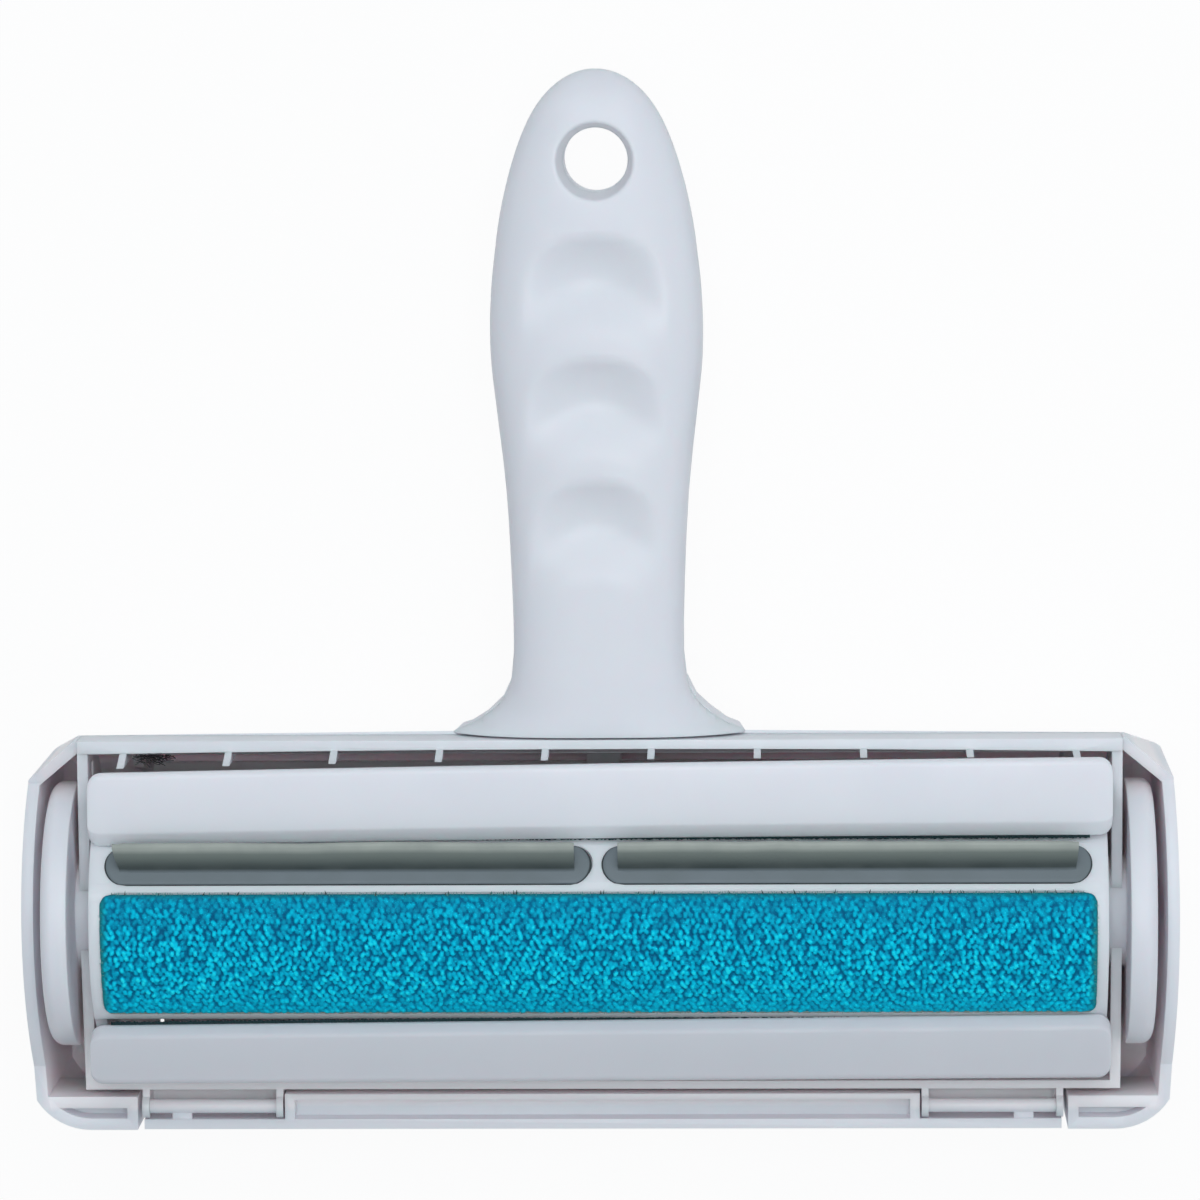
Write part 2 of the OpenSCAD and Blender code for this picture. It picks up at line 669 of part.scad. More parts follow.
module drum_shell() in_place() at_rest() color(white) difference() {
    union() {
        along_x(drum_len) difference() {
            circle(drum_r);
            circle(drum_r - drum_wall);
            sector(180 - drum_arc / 2 - 0.001, 2 * drum_r);
        }
        // seat of the pads
        intersection() {
            along_x(drum_len - 2) circle(drum_r - 0.5);
            box([-drum_len / 2 + 1, -pad_w / 2 - 1.6, drum_r - drum_wall - 1.6], [drum_len / 2 - 1, pad_w / 2 + 1.6, drum_r]);
        }
        // ribs across the hollow
        for (k = [-1 : 1]) translate([k * drum_len / 4, 0, 0]) along_x(1.4) difference() {
            circle(drum_r - 1);
            circle(drum_r - 7);
            sector(180 - drum_arc / 2 + 2, 2 * drum_r);
        }
        // end plates with their screw bosses
        both_ends() {
            translate([drum_len / 2 - 1, 0, 0]) along_x(2) union() {
                difference() {
                    circle(drum_r - 0.3);
                    sector(stop_half + rest_tilt + 0.3, 2 * drum_r);
                }
                circle(9);
            }
            translate([screw_end - 0.6, 0, 0]) rotate([0, 90, 0]) cylinder(r = key_r + 2, h = drum_len / 2 - screw_end - 1);
        }
    }
    // recesses for the fabric strips
    intersection() {
        union() {
            fabric_column(1, 0.1);
            fabric_column(-1, 0.1);
        }
        along_x(drum_len) difference() {
            circle(drum_r + 2);
            circle(drum_r - fabric_sink);
        }
    }
    // recess for the pads
    intersection() {
        pad_column(seat_fit);
        box([-past * 2, -past, drum_r - 1.5], [past * 2, past, past]);
    }
    both_ends() {
        translate([drum_len / 2 - 2.1, 0, 0]) rotate([0, 90, 0]) key(seat_fit, 5);
        translate([screw_end - 3, 0, 0]) rotate([0, 90, 0]) cylinder(r = screw_r + run_fit, h = 20);
    }
}

// D-shaped key, so that a disc turns its drum
module key(grow, h) difference() {
    cylinder(r = key_r + grow, h = h);
    translate([key_r - 1.4 + grow, -past, -1]) cube([past, 2 * past, h + 2]);
}

module fabric_strip(side) in_place() at_rest() color(teal) intersection() {
    along_x(drum_len) difference() {
        circle(fabric_r);
        circle(drum_r - fabric_sink);
    }
    fabric_column(side, 0);
}
module front_fabric_strip() fabric_strip(-1);
module rear_fabric_strip() fabric_strip(1);

module rubber_fin(side) in_place() at_rest() color(rubber_grey) {
    intersection() {
        pad_column(0);
        along_x(2 * past * 2) circle(drum_r + 0.3);
        box([min(0, side * past * 2), -past, drum_r - 1.4], [max(0, side * past * 2), past, past]);
    }
    intersection() {
        along_x(4 * past) {
            polygon([
                [-fin_t / 2, drum_r - 1], [-fin_t / 2 + 0.3, drum_r + fin_h - 0.6],
                [fin_t / 2 - 0.3, drum_r + fin_h - 0.6], [fin_t / 2, drum_r - 1]
            ]);
            translate([0, drum_r + fin_h - (fin_t / 2 - 0.3)]) circle(fin_t / 2 - 0.3);
        }
        along_y(2 * past) translate([side * (pad_gap + pad_len) / 2, drum_r + fin_h / 2 - 2])
            round_rect(pad_len - 5.2, fin_h + 4, 2);
    }
}
module left_rubber_fin() rubber_fin(-1);
module right_rubber_fin() rubber_fin(1);

// Drawn for the right end, along +Z, from the drum's end face outward
module end_disc() difference() {
    union() {
        translate([0, 0, disc_in]) rotate_extrude() difference() {
            union() {
                square([disc_r, disc_t - 2]);
                square([disc_r - 2, disc_t]);
                translate([disc_r - 2, disc_t - 2]) circle(2);
            }
            translate([-past, -past]) square([past, 2 * past]);
        }
        translate([0, 0, drum_len / 2 + 0.1]) cylinder(r = hub_r, h = disc_in - drum_len / 2);
        translate([0, 0, drum_len / 2 - 2]) key(0, 3);
    }
    translate([0, 0, drum_len / 2 - 5]) cylinder(r = screw_r + run_fit, h = 30);
    translate([0, 0, disc_in + disc_t - screw_head_t - 0.2]) cylinder(r = screw_head_r + 0.3, h = 10);
    // shallow ring that saves material
    translate([0, 0, disc_in + disc_t - 1.2]) rotate_extrude() translate([8, 0]) square([9, 3]);
}
module right_end_disc() in_place() at_rest() color(white) rotate([0, 90, 0]) end_disc();
module left_end_disc() in_place() at_rest() color(white) mirror([1, 0, 0]) rotate([0, 90, 0]) end_disc();

module disc_screw() difference() {
    union() {
        translate([0, 0, screw_end]) cylinder(r = screw_r, h = disc_in + disc_t - screw_head_t - screw_end);
        translate([0, 0, disc_in + disc_t - screw_head_t - 0.2]) cylinder(r = screw_head_r, h = screw_head_t - 0.2);
    }
    for (a = [0, 90]) rotate([0, 0, a]) translate([-1.8, -0.4, disc_in + disc_t - 1.6]) cube([3.6, 0.8, 4]);
}
module right_disc_screw() in_place() at_rest() color(steel) rotate([0, 90, 0]) disc_screw();
module left_disc_screw() in_place() at_rest() color(steel) mirror([1, 0, 0]) rotate([0, 90, 0]) disc_screw();

module dust_lid() in_place() color(white) difference() {
    union() {
        difference() {
            intersection() {
                head_block(0);
                box([-lid_half, -past, -past], [lid_half, lid_edge, hinge_z + 1.2]);
            }
            head_block(lid_wall);
        }
        // stiffening ribs at both ends and across
        for (x = [-lid_half, -lid_half / 3, lid_half / 3 - 1.4, lid_half - 1.4]) intersection() {
            difference() {
                head_block(0.5);
                head_block(rib_depth - 0.5);
            }
            box([x, -past, -past], [x + 1.4, lid_edge, -16]);
        }
        // rib along the latch edge
        box([-lid_half, lid_edge - 1.6, -back_depth + 1], [lid_half, lid_edge, -back_depth + rib_depth - 0.5]);
        // pocket in the middle of the rim
        intersection() {
            head_block(0.5);
            difference() {
                box([-pocket_half, -past, pocket_floor - pocket_floor_t], [pocket_half, -sill_y - 0.8, hinge_z + 1.2]);
                box([-pocket_half + lid_wall, -past, pocket_floor], [pocket_half - lid_wall, -sill_y - 1.8, past]);
            }
        }
        // hinge rods, each held by one tab
        both_ends() {
            translate([bay_in - ear_t, -hinge_y, hinge_z]) rotate([0, 90, 0]) cylinder(r = rod_r, h = bay_w + 2 * ear_t);
            box([tab_out - tab_w, -head_low + 1, hinge_z - 1.6], [tab_out, -hinge_y, hinge_z + 0.6]);
        }
        // catch for the button's tooth
        both_ends() box_yz(arm_half + 0.6, arm_half + 2.2, [
            [lid_edge - 7, -back_depth + 1], [lid_edge, -back_depth + 1], [lid_edge, -30], [catch_y + 1.5, catch_top - 2.6],
            [catch_y + 1.5, catch_top], [catch_y, catch_top], [catch_y - 3, catch_top - 4]
        ]);
        box([-arm_half - 1, catch_y, catch_top - 2.6], [arm_half + 1, catch_y + 1.5, catch_top]);
    }
}

module box_yz(x0, x1, pts) translate([x0, 0, 0]) rotate([90, 0, 90]) linear_extrude(x1 - x0) polygon(pts);

module release_button() in_place() color(pale_grey) {
    difference() {
        intersection() {
            button_column(0, -20, button_shelf + 0.1);
            box_yz(-past, past, [
                [button_y - 8, -11.9], [button_y + 8, -10.4], [button_y + 8, 0], [button_y - 8, 0]
            ]);
        }
        // grip grooves
        for (k = [-1 : 1]) translate([0, button_y + k * 2.6, -11.5 + k * 0.25]) rotate([0, 90, 0])
            cylinder(r = 0.6, h = 9, center = true);
    }
    button_column(button_flange, button_shelf, spring_low);
    // arm with the tooth that holds the lid
    box_yz(-arm_half, arm_half, [
        [button_y - 5, spring_low], [button_y - 20, spring_low], [head_top + 1.2, -19.6], [catch_y - 1.9, -22.8],
        [catch_y - 1.9, catch_top - 2], [catch_y - 0.1, catch_top - 1.4], [catch_y - 0.1, catch_top + 0.4],
        [head_top + 2, -21.6], [button_y - 19, spring_low - 1.4], [button_y - 5, spring_low - 1.4]
    ]);
}

spring_turns = 4;
spring_r = 3.1;
function spring_ring(t) =
    let (
        a = 360 * spring_turns * t,
        z = spring_low + wire_r + (spring_high - spring_low - 2 * wire_r) * t,
        c = cos(a), s = sin(a)
    )
    [for (k = [0 : 5]) let (b = 60 * k)
        [(spring_r + wire_r * cos(b)) * c, button_y + (spring_r + wire_r * cos(b)) * s, z + wire_r * sin(b)]];
module button_spring() in_place() color(steel)
    loft([for (i = [0 : 14 * spring_turns]) spring_ring(i / (14 * spring_turns))], -1);

housing();
handle_cover();
roller_frame();
upper_guide_bar();
lower_guide_bar();
upper_wiper_strip();
lower_wiper_strip();
drum_shell();
front_fabric_strip();
rear_fabric_strip();
left_rubber_fin();
right_rubber_fin();
left_end_disc();
right_end_disc();
left_disc_screw();
right_disc_screw();
dust_lid();
release_button();
button_spring();
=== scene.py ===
# %% [markdown]
# A reusable pet hair brush, dressed for its portrait. The measured solids come from the packed
# frame. Each step here gives one part of the brush the finish and the small shapes that a drawing
# leaves out: rounded moulded edges, pile on the cloth, the wave in the rubber, the caught hair.

import json
import math
import random

import bmesh
import bpy
import numpy as np
from mathutils import Matrix, Vector, noise
from mathutils.geometry import delaunay_2d_cdt

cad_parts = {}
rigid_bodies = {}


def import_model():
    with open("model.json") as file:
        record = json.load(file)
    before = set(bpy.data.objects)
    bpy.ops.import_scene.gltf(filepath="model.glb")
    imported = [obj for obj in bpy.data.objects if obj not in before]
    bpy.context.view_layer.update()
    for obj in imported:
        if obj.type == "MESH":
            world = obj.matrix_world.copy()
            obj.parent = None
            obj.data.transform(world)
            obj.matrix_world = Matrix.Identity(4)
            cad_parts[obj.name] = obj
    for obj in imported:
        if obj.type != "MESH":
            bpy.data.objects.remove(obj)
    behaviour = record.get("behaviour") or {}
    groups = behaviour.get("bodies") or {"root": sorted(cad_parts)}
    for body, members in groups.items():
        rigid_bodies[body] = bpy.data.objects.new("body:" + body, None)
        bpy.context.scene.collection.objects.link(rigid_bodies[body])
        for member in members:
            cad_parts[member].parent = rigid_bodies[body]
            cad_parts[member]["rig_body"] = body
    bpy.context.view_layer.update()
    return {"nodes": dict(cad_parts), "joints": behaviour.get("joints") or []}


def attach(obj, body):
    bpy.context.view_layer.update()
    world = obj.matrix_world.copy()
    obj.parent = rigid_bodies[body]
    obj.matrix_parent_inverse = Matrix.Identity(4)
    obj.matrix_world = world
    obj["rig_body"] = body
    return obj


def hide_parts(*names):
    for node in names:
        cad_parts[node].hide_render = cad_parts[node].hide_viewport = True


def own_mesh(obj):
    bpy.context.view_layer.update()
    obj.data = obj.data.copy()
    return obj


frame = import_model()
MM = 0.001

# %% [markdown]
# Everything on the head is placed from the drum's axis, because the drum is what the maker would
# build the rest around. The axis is a joint of the frame, so its place is read from there and not
# typed in again.

# %% The drum's axis is the zero line
drum_joint = next(j for j in frame["joints"] if j["name"] == "drum_rock")
AXIS = Vector(drum_joint["pos_m"])
HEAD_TOP = 31.8     # from the axis to the head's edge at the handle
SEAM = 1.0          # height of the seam between the handle's halves
REST = math.radians(32)         # the drum's turn in the photograph, toward the handle

def at(x, y, z):
    """A point in millimetres from the middle of the drum's axis."""
    return AXIS + Vector((x, y, z)) * MM


print("drum axis in mm:", [round(v / MM, 1) for v in AXIS])

# %% [markdown]
# The photograph was taken from almost straight above the face, a little from the handle's side,
# with a long lens: the end walls hardly show their inner faces. A lens of 11 degrees from a metre
# away gives that flat look, and the camera is aimed so that the brush fills the frame.

# %% Camera
LENS_ANGLE, ROLL = math.radians(11.237), math.radians(-0.434)
EYE, TARGET = at(32.7, 176.2, 1040.6), at(0.51, 55.38, 10)


def place_camera():
    data = bpy.data.cameras.new("studio_camera")
    data.sensor_fit = "HORIZONTAL"
    data.sensor_width = 36
    data.angle = LENS_ANGLE
    data.clip_start, data.clip_end = 0.05, 20
    camera = bpy.data.objects.new("studio_camera", data)
    bpy.context.scene.collection.objects.link(camera)
    back = (EYE - TARGET).normalized()
    right = Vector((0, 1, 0)).cross(back).normalized()
    turn = Matrix((right, back.cross(right), back)).transposed().to_4x4()
    camera.matrix_world = Matrix.Translation(EYE) @ turn @ Matrix.Rotation(ROLL, 4, "Z")
    bpy.context.scene.camera = camera
    return camera


camera = place_camera()
bpy.context.scene.view_settings.view_transform = "Standard"
print("camera distance in mm:", round((camera.location - AXIS).length / MM))

# %% [markdown]
# Node maths reads best as plain formulas. This small class holds one output of a shader node, and
# its operators add the Math nodes, so a mask can be written as (noise - 0.5) * 1.6. Colours go
# through Mix, because a Math node would turn them grey.

# %% Shader formulas
class Tone:
    """One output of a shader node, with arithmetic."""

    def __init__(self, tree, socket):
        self.tree, self.socket = tree, socket

    def _math(self, operation, *values, clamp=False):
        settings = {"operation": operation, "use_clamp": clamp}
        return make(self.tree, "ShaderNodeMath", settings, dict(enumerate(values)))

    def __add__(self, other): return self._math("ADD", self, other)
    def __sub__(self, other): return self._math("SUBTRACT", self, other)
    def __mul__(self, other): return self._math("MULTIPLY", self, other)

    def clamp(self): return self._math("ADD", self, 0.0, clamp=True)
    def largest(self, other): return self._math("MAXIMUM", self, other)
    def size(self): return self._math("ABSOLUTE", self)

    def between(self, low, high, to_low=0.0, to_high=1.0):
        """Map a range to another, held at its ends."""
        return make(self.tree, "ShaderNodeMapRange", {"clamp": True}, {
            "Value": self, "From Min": low, "From Max": high, "To Min": to_low, "To Max": to_high})


def make(tree, kind, settings=None, inputs=None, output=0):
    """Add one node: its settings first, then the values or links of its sockets."""
    node = tree.nodes.new(kind)
    for key, value in (settings or {}).items():
        if key == "stops":
            ramp = node.color_ramp
            while len(ramp.elements) < len(value):
                ramp.elements.new(0.5)
            for element, (place, colour) in zip(ramp.elements, value):
                element.position, element.color = place, (*colour, 1)
        else:
            setattr(node, key, value)
    for key, value in (inputs or {}).items():
        socket = node.inputs[key]
        if isinstance(value, Tone):
            tree.links.new(value.socket, socket)
        elif isinstance(value, (tuple, list)) and len(value) == 3 and socket.type == "RGBA":
            socket.default_value = (*value, 1)
        else:
            socket.default_value = value
    return Tone(tree, node.outputs[output])


def blend_colour(tree, share, first, second):
    return make(tree, "ShaderNodeMix", {"data_type": "RGBA"},
                {"Factor": share, "A": first, "B": second}, output=2)


def empty_tree(owner):
    """Switch an owner's nodes on, clear them and return its tree."""
    owner.use_nodes = True
    owner.node_tree.nodes.clear()
    return owner.node_tree


print("formula class ready")

# %% [markdown]
# Every finish starts the same way: an empty node tree, a Principled shader, and coordinates in
# metres from the frame's origin. The nodes sit at the origin, so object coordinates give the same
# grain size on every piece, and the grain doesn't slide when a joint moves.

# %% Start of a finish
def finish(name, **constants):
    """An empty material with a Principled shader. Returns it, its tree and its coordinates in mm."""
    material = bpy.data.materials.new(name)
    tree = empty_tree(material)
    shader = tree.nodes.new("ShaderNodeBsdfPrincipled")
    output = tree.nodes.new("ShaderNodeOutputMaterial")
    tree.links.new(shader.outputs[0], output.inputs[0])
    for key, value in constants.items():
        shader.inputs[key.replace("_", " ")].default_value = value
    spot = make(tree, "ShaderNodeTexCoord", output=3)
    place = make(tree, "ShaderNodeVectorMath", {"operation": "SCALE"}, {0: spot, "Scale": 1 / MM})
    return material, tree, shader, place


def feed(tree, shader, **sockets):
    for key, value in sockets.items():
        tree.links.new(value.socket, shader.inputs[key.replace("_", " ")])


def grain(tree, place, size, detail=2.0, rough=0.5):
    """Soft noise whose blobs are about size millimetres across."""
    return make(tree, "ShaderNodeTexNoise", None,
                {"Vector": place, "Scale": 1.0 / size, "Detail": detail, "Roughness": rough})


def relief(tree, height, depth_mm, strength=1.0):
    return make(tree, "ShaderNodeBump", None,
                {"Height": height, "Distance": depth_mm * MM, "Strength": strength})


def from_axis(tree, place):
    """Millimetres along the drum's axis, toward the handle from it, and above it."""
    axes = make(tree, "ShaderNodeSeparateXYZ", None, {"Vector": place})
    along, far, high = (Tone(tree, axes.socket.node.outputs[n]) for n in range(3))
    return along, far - AXIS.y / MM, high - AXIS.z / MM


print("finish helpers ready")

# %% [markdown]
# The mouldings are satin polypropylene or ABS. Close up the surface has a very fine spark-eroded
# grain and a few low, wide waves where the plastic shrank. Light goes a few millimetres into it, red
# the furthest. The inside of the head is painted paler and warmer than the outside: painted light
# that brightens its shaded hollows. The head and the lower bar aren't quite the same white.

# %% Moulded plastic
# A paler, warmer colour for the inside of the head: painted light that brightens its shaded hollows.
INSIDE_PAINTED_LIGHT = (0.95, 0.875, 0.895)


def moulded(name, colour, shade, roughness):
    material, tree, shader, place = finish(name, IOR=1.46, Subsurface_Weight=0.5, Subsurface_Scale=0.004)
    shader.inputs["Subsurface Radius"].default_value = (1.0, 0.62, 0.7)
    fine = grain(tree, place, 0.35, 3.0, 0.6)
    wave = grain(tree, place, 14.0, 2.0, 0.5)
    cloud = grain(tree, place, 30.0, 3.0, 0.55)
    mixed = blend_colour(tree, cloud.between(0.35, 0.75), colour, shade)
    along, far, high = from_axis(tree, place)
    # The inside of the head is a box in the drum's coordinates, with soft sides; painted light makes it paler
    # and warmer there
    ends = along.size().between(95.5, 97.0, 1.0, 0.0)
    sides = (far + 2.0).size().between(31.2, 32.2, 1.0, 0.0)
    depth = high.between(3.0, 10.0, 1.0, 0.0) * high.between(-34.5, -33.5)
    mixed = blend_colour(tree, ends * sides * depth, mixed, INSIDE_PAINTED_LIGHT)
    feed(tree, shader, Base_Color=mixed,
         Roughness=wave.between(0.3, 0.7, roughness - 0.05, roughness + 0.06),
         Normal=relief(tree, fine * 0.5 + wave * 2.0, 0.02, 0.5))
    return material


white_shell = moulded("white_shell", (0.77, 0.78, 0.82), (0.75, 0.765, 0.81), 0.42)
grey_shell = moulded("grey_shell", (0.60, 0.61, 0.645), (0.58, 0.595, 0.63), 0.44)
print("plastics:", white_shell.name, grey_shell.name)

# %% [markdown]
# Rubber and pile are shaded by their height over the drum: the tips get a painted highlight, and the
# roots a painted shade. So these finishes measure the distance from the drum's axis. They are
# measured in the drum's own coordinates, so the tones stay in place when the drum rocks.

# %% Height and turn on the drum
PATTERN_R = 22.0        # where the cloth's width is measured around the drum
PILE_REACH = 22.45      # farther out than any tip of the pile


def drum_measures(tree, place):
    """Along the axis, away from it, and the turn around it toward the handle, in mm and radians."""
    along, far, high = from_axis(tree, place)
    reach = make(tree, "ShaderNodeMath", {"operation": "SQRT"}, {0: high * high + far * far})
    turn = make(tree, "ShaderNodeMath", {"operation": "ARCTAN2"}, {0: far, 1: high})
    return along, reach, turn


print("drum measures ready")

# %% [markdown]
# The rubber is a soft thermoplastic, greyish green and matte, and bluer on the flat pad.

# %% Rubber
# The dark root and the pale tip are painted shade and painted highlight on the fin, and the crease colour is
# painted shade at the pad's edge; the dust is real.
ROOT_SHADE_GREY, FACE_GREY, TIP_HIGHLIGHT_GREY = (0.045, 0.06, 0.06), (0.175, 0.205, 0.185), (0.36, 0.39, 0.355)
PAD_GREY, CREASE_SHADE, DUST = (0.15, 0.185, 0.205), (0.02, 0.028, 0.032), (0.15, 0.175, 0.17)


def rubber_finish():
    material, tree, shader, place = finish("fin_rubber", IOR=1.5)
    along, reach, turn = drum_measures(tree, place)
    cloud = grain(tree, place, 6.0, 3.0)
    # Painted shade toward the fin's root, a painted highlight on its rounded tip, and painted shade in the
    # crease round the pad.
    face = blend_colour(tree, reach.between(22.5, 25.4), ROOT_SHADE_GREY, FACE_GREY)
    tip = blend_colour(tree, reach.between(25.5, 26.2), face, TIP_HIGHLIGHT_GREY)
    pad = blend_colour(tree, reach.between(22.0, 22.4), PAD_GREY, tip)
    pad = blend_colour(tree, reach.between(21.74, 21.84), CREASE_SHADE, pad)
    mixed = blend_colour(tree, cloud.between(0.35, 0.8, 0.0, 0.3), pad, DUST)
    feed(tree, shader, Base_Color=mixed, Roughness=cloud.between(0.3, 0.7, 0.52, 0.68),
         Normal=relief(tree, grain(tree, place, 0.4, 2.0), 0.03, 0.5))
    return material


fin_rubber = rubber_finish()
print("rubber:", fin_rubber.name)

# %% [markdown]
# The cloth is a velvet of short stiff loops that lean one way and catch hair when rubbed the
# other way. Its loops stand up as real shape further down, so the finish only has to paint shade in
# the pits and a highlight on the tips, to paint a greenish shade along the border where the recess
# edge shades the pile, and to draw a thin beige line along the lower border.

# %% Pile cloth
# Pile colours, from painted shade in the pits up to painted highlight on the tips.
PILE_SHADE_TO_HIGHLIGHT = [
    (0.0, (0.0, 0.10, 0.22)), (0.3, (0.0, 0.22, 0.38)), (0.58, (0.0, 0.45, 0.67)),
    (0.8, (0.0, 0.63, 0.86)), (1.0, (0.02, 0.85, 0.95))]
# A darker green for painted shade along the recess edge, and a beige for a thin line along the lower border.
BORDER_SHADE_GREEN, BEIGE_EDGE = (0.01, 0.24, 0.24), (0.36, 0.36, 0.27)


def cloth_finish(name, middle, half_x, half_v):
    """Pile whose strip has its middle at this turn around the drum."""
    material, tree, shader, place = finish(name, IOR=1.4, Specular_IOR_Level=0.12)
    along, reach, turn = drum_measures(tree, place)
    across = (turn - middle) * PATTERN_R
    fine = grain(tree, place, 0.5, 2.0, 0.6)
    patch = grain(tree, place, 2.6, 3.0, 0.6)
    speck = grain(tree, place, 0.24, 1.0).between(0.62, 0.72, 0.0, 0.3)
    # The tone is painted light by height: painted shade in the pits and painted highlight on the tips, with
    # small bright specks, a little darker toward the handle's side.
    tone = ((reach + (fine - 0.5) * 0.14).between(21.8, 22.32) * 0.8 + patch * 0.2 + speck
            - across * 0.009).clamp()
    pile = make(tree, "ShaderNodeValToRGB", {"stops": PILE_SHADE_TO_HIGHLIGHT}, {"Fac": tone})
    rim = (along.size() - (half_x - 1.3)).largest(across.size() - (half_v - 1.1))
    # A band along the border turns darker and greener: painted shade where the recess edge shades the pile.
    border_shade = (rim + (patch - 0.5) * 1.6).between(0.0, 1.5, 0.0, 0.75)
    edged = blend_colour(tree, border_shade, pile, BORDER_SHADE_GREEN)
    # A thin beige line along the lower border.
    beige_line = (across * -1.0 - (half_v - 0.28) + (fine - 0.5) * 0.3).between(0.0, 0.1)
    mixed = blend_colour(tree, beige_line * 0.8, edged, BEIGE_EDGE)
    feed(tree, shader, Base_Color=mixed, Roughness=patch.between(0.2, 0.8, 0.55, 0.85),
         Normal=relief(tree, fine, 0.12, 0.5))
    return material


STRIP_TURN = math.radians(44.5)     # from the fins' middle to a strip's middle
STRIP_HALF_X, STRIP_HALF_V = 84.3, 11.45
front_pile = cloth_finish("front_pile", REST - STRIP_TURN, STRIP_HALF_X, STRIP_HALF_V)
rear_pile = cloth_finish("rear_pile", REST + STRIP_TURN, STRIP_HALF_X, STRIP_HALF_V)
print("cloths:", front_pile.name, rear_pile.name)

# %% [markdown]
# Small things that only show as a line or a speck need no more than a matte tone that wanders.

# %% Plain matte finishes
def plain(name, colour, roughness, size=1.5, spread=0.25):
    """A matte finish whose tone wanders a little."""
    material, tree, shader, place = finish(name)
    cloud = grain(tree, place, size, 2.0)
    dark = tuple(c * (1 - spread) for c in colour)
    feed(tree, shader, Base_Color=blend_colour(tree, cloud, dark, colour),
         Roughness=cloud.between(0.2, 0.8, roughness - 0.08, roughness + 0.08))
    return material


# Near-black teal: painted shade, for the wiper lying in the shadow of the gap.
shaded_wiper_pile = plain("shaded_wiper_pile", (0.004, 0.034, 0.04), 0.85, 0.6, 0.6)
print("wiper:", shaded_wiper_pile.name)

# %% [markdown]
# Screws and the spring are plated steel: metallic, with fine drawn lines that spread
# the highlight.

# %% Plated steel
def steel_finish():
    material, tree, shader, place = finish("plated_steel", Metallic=1.0)
    line = grain(tree, place, 0.25, 2.0)
    cloud = grain(tree, place, 4.0, 2.0)
    feed(tree, shader, Base_Color=blend_colour(tree, cloud, (0.56, 0.57, 0.59), (0.66, 0.67, 0.68)),
         Roughness=line.between(0.2, 0.8, 0.26, 0.42), Normal=relief(tree, line, 0.01, 0.4))
    return material


plated_steel = steel_finish()
print("steel:", plated_steel.name)

# %% [markdown]
# A moulded edge is never sharp: the tool has a radius of a few tenths of a millimetre there, and
# it is these edges that catch the light. So each plastic piece is shown by a dressed copy of its
# solid: flat triangles are joined back to clean faces, and the sharp edges get a small bevel. Two
# shapes of the real moulding are put in at the same time. The head's top edge sags toward its
# corners, and the back of the handle's foot runs out on the head in a hollow curve.

# %% Dressed copies
def rework(piece, work):
    """Open a piece's mesh for editing, do the work on it, and put it back."""
    mesh = bmesh.new()
    mesh.from_mesh(piece.data)
    work(mesh)
    mesh.to_mesh(piece.data)
    mesh.free()


def outward(mesh):
    """Turn every face's front to the outside."""
    bmesh.ops.recalc_face_normals(mesh, faces=mesh.faces)


def dress(node, material, edge=0.25, angle=28, settled=False):
    """Copy a node's mesh, round its sharp edges, and let the copy stand for the node."""
    source = frame["nodes"][node]
    piece = bpy.data.objects.new(node + "_moulding", source.data.copy())
    bpy.context.scene.collection.objects.link(piece)

    def clean(mesh):
        bmesh.ops.remove_doubles(mesh, verts=mesh.verts, dist=1e-6)
        bmesh.ops.dissolve_limit(mesh, angle_limit=math.radians(0.6), verts=mesh.verts, edges=mesh.edges)
        for v in mesh.verts if settled else ():
            x, y, z = ((v.co[n] - AXIS[n]) / MM for n in range(3))
            v.co.x = AXIS.x + foot_limit(x, y, z) * MM
            v.co.y -= head_sag(x, y) * MM

    rework(piece, clean)
    piece.data.materials.clear()
    piece.data.materials.append(material)
    if edge:
        bevel = piece.modifiers.new("rounded_edges", "BEVEL")
        bevel.width, bevel.segments = edge * MM, 2
        bevel.limit_method, bevel.angle_limit = "ANGLE", math.radians(angle)
        bevel.use_clamp_overlap, bevel.harden_normals = True, False
        bevel.miter_outer = "MITER_ARC"
    apply_modifiers(piece)
    smooth(piece, angle)
    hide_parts(node)
    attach(piece, source["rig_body"])
    return piece


def head_sag(x, y):
    """How far the head's top edge has shrunk back toward its corners, in mm."""
    share = min(1.0, max(0.0, (y - 18) / 8))
    return 0.75 * (x / 95) ** 2 * share


# The foot's half width at heights over the head's edge. The deeper a point lies, the higher it
# counts, so that the curve leans back with the wall of the head.
FOOT_TAIL = [(0.0, 34.0), (0.7, 27.3), (1.5, 24.0), (2.2, 21.8), (2.7, 20.8), (3.7, 19.6),
             (5.3, 18.2), (7.2, 17.1), (11.6, 16.0), (13.0, 17.0)]
FOOT_LEAN = 0.14


def foot_limit(x, y, z):
    """Cut the back of the handle's foot to the hollow curve in which it runs out on the head."""
    over = y - HEAD_TOP + FOOT_LEAN * (SEAM - z)
    if not (0 < over < 12 and y > 27 and z < SEAM and 14 < abs(x) < 28):
        return x
    for (low, wide), (high, thin) in zip(FOOT_TAIL, FOOT_TAIL[1:]):
        if low <= over <= high:
            most = wide + (thin - wide) * (over - low) / (high - low)
            return math.copysign(min(abs(x), most), x)
    return x


def apply_modifiers(piece):
    """Turn a piece's modifiers into plain mesh."""
    evaluated = piece.evaluated_get(bpy.context.evaluated_depsgraph_get())
    done = bpy.data.meshes.new_from_object(evaluated)
    piece.modifiers.clear()
    piece.data = done


def smooth(piece, angle=35):
    """Smooth shading that keeps edges sharper than the angle."""
    piece.data.shade_smooth()
    piece.data.set_sharp_from_angle(angle=math.radians(angle))


print("dressing helper ready")

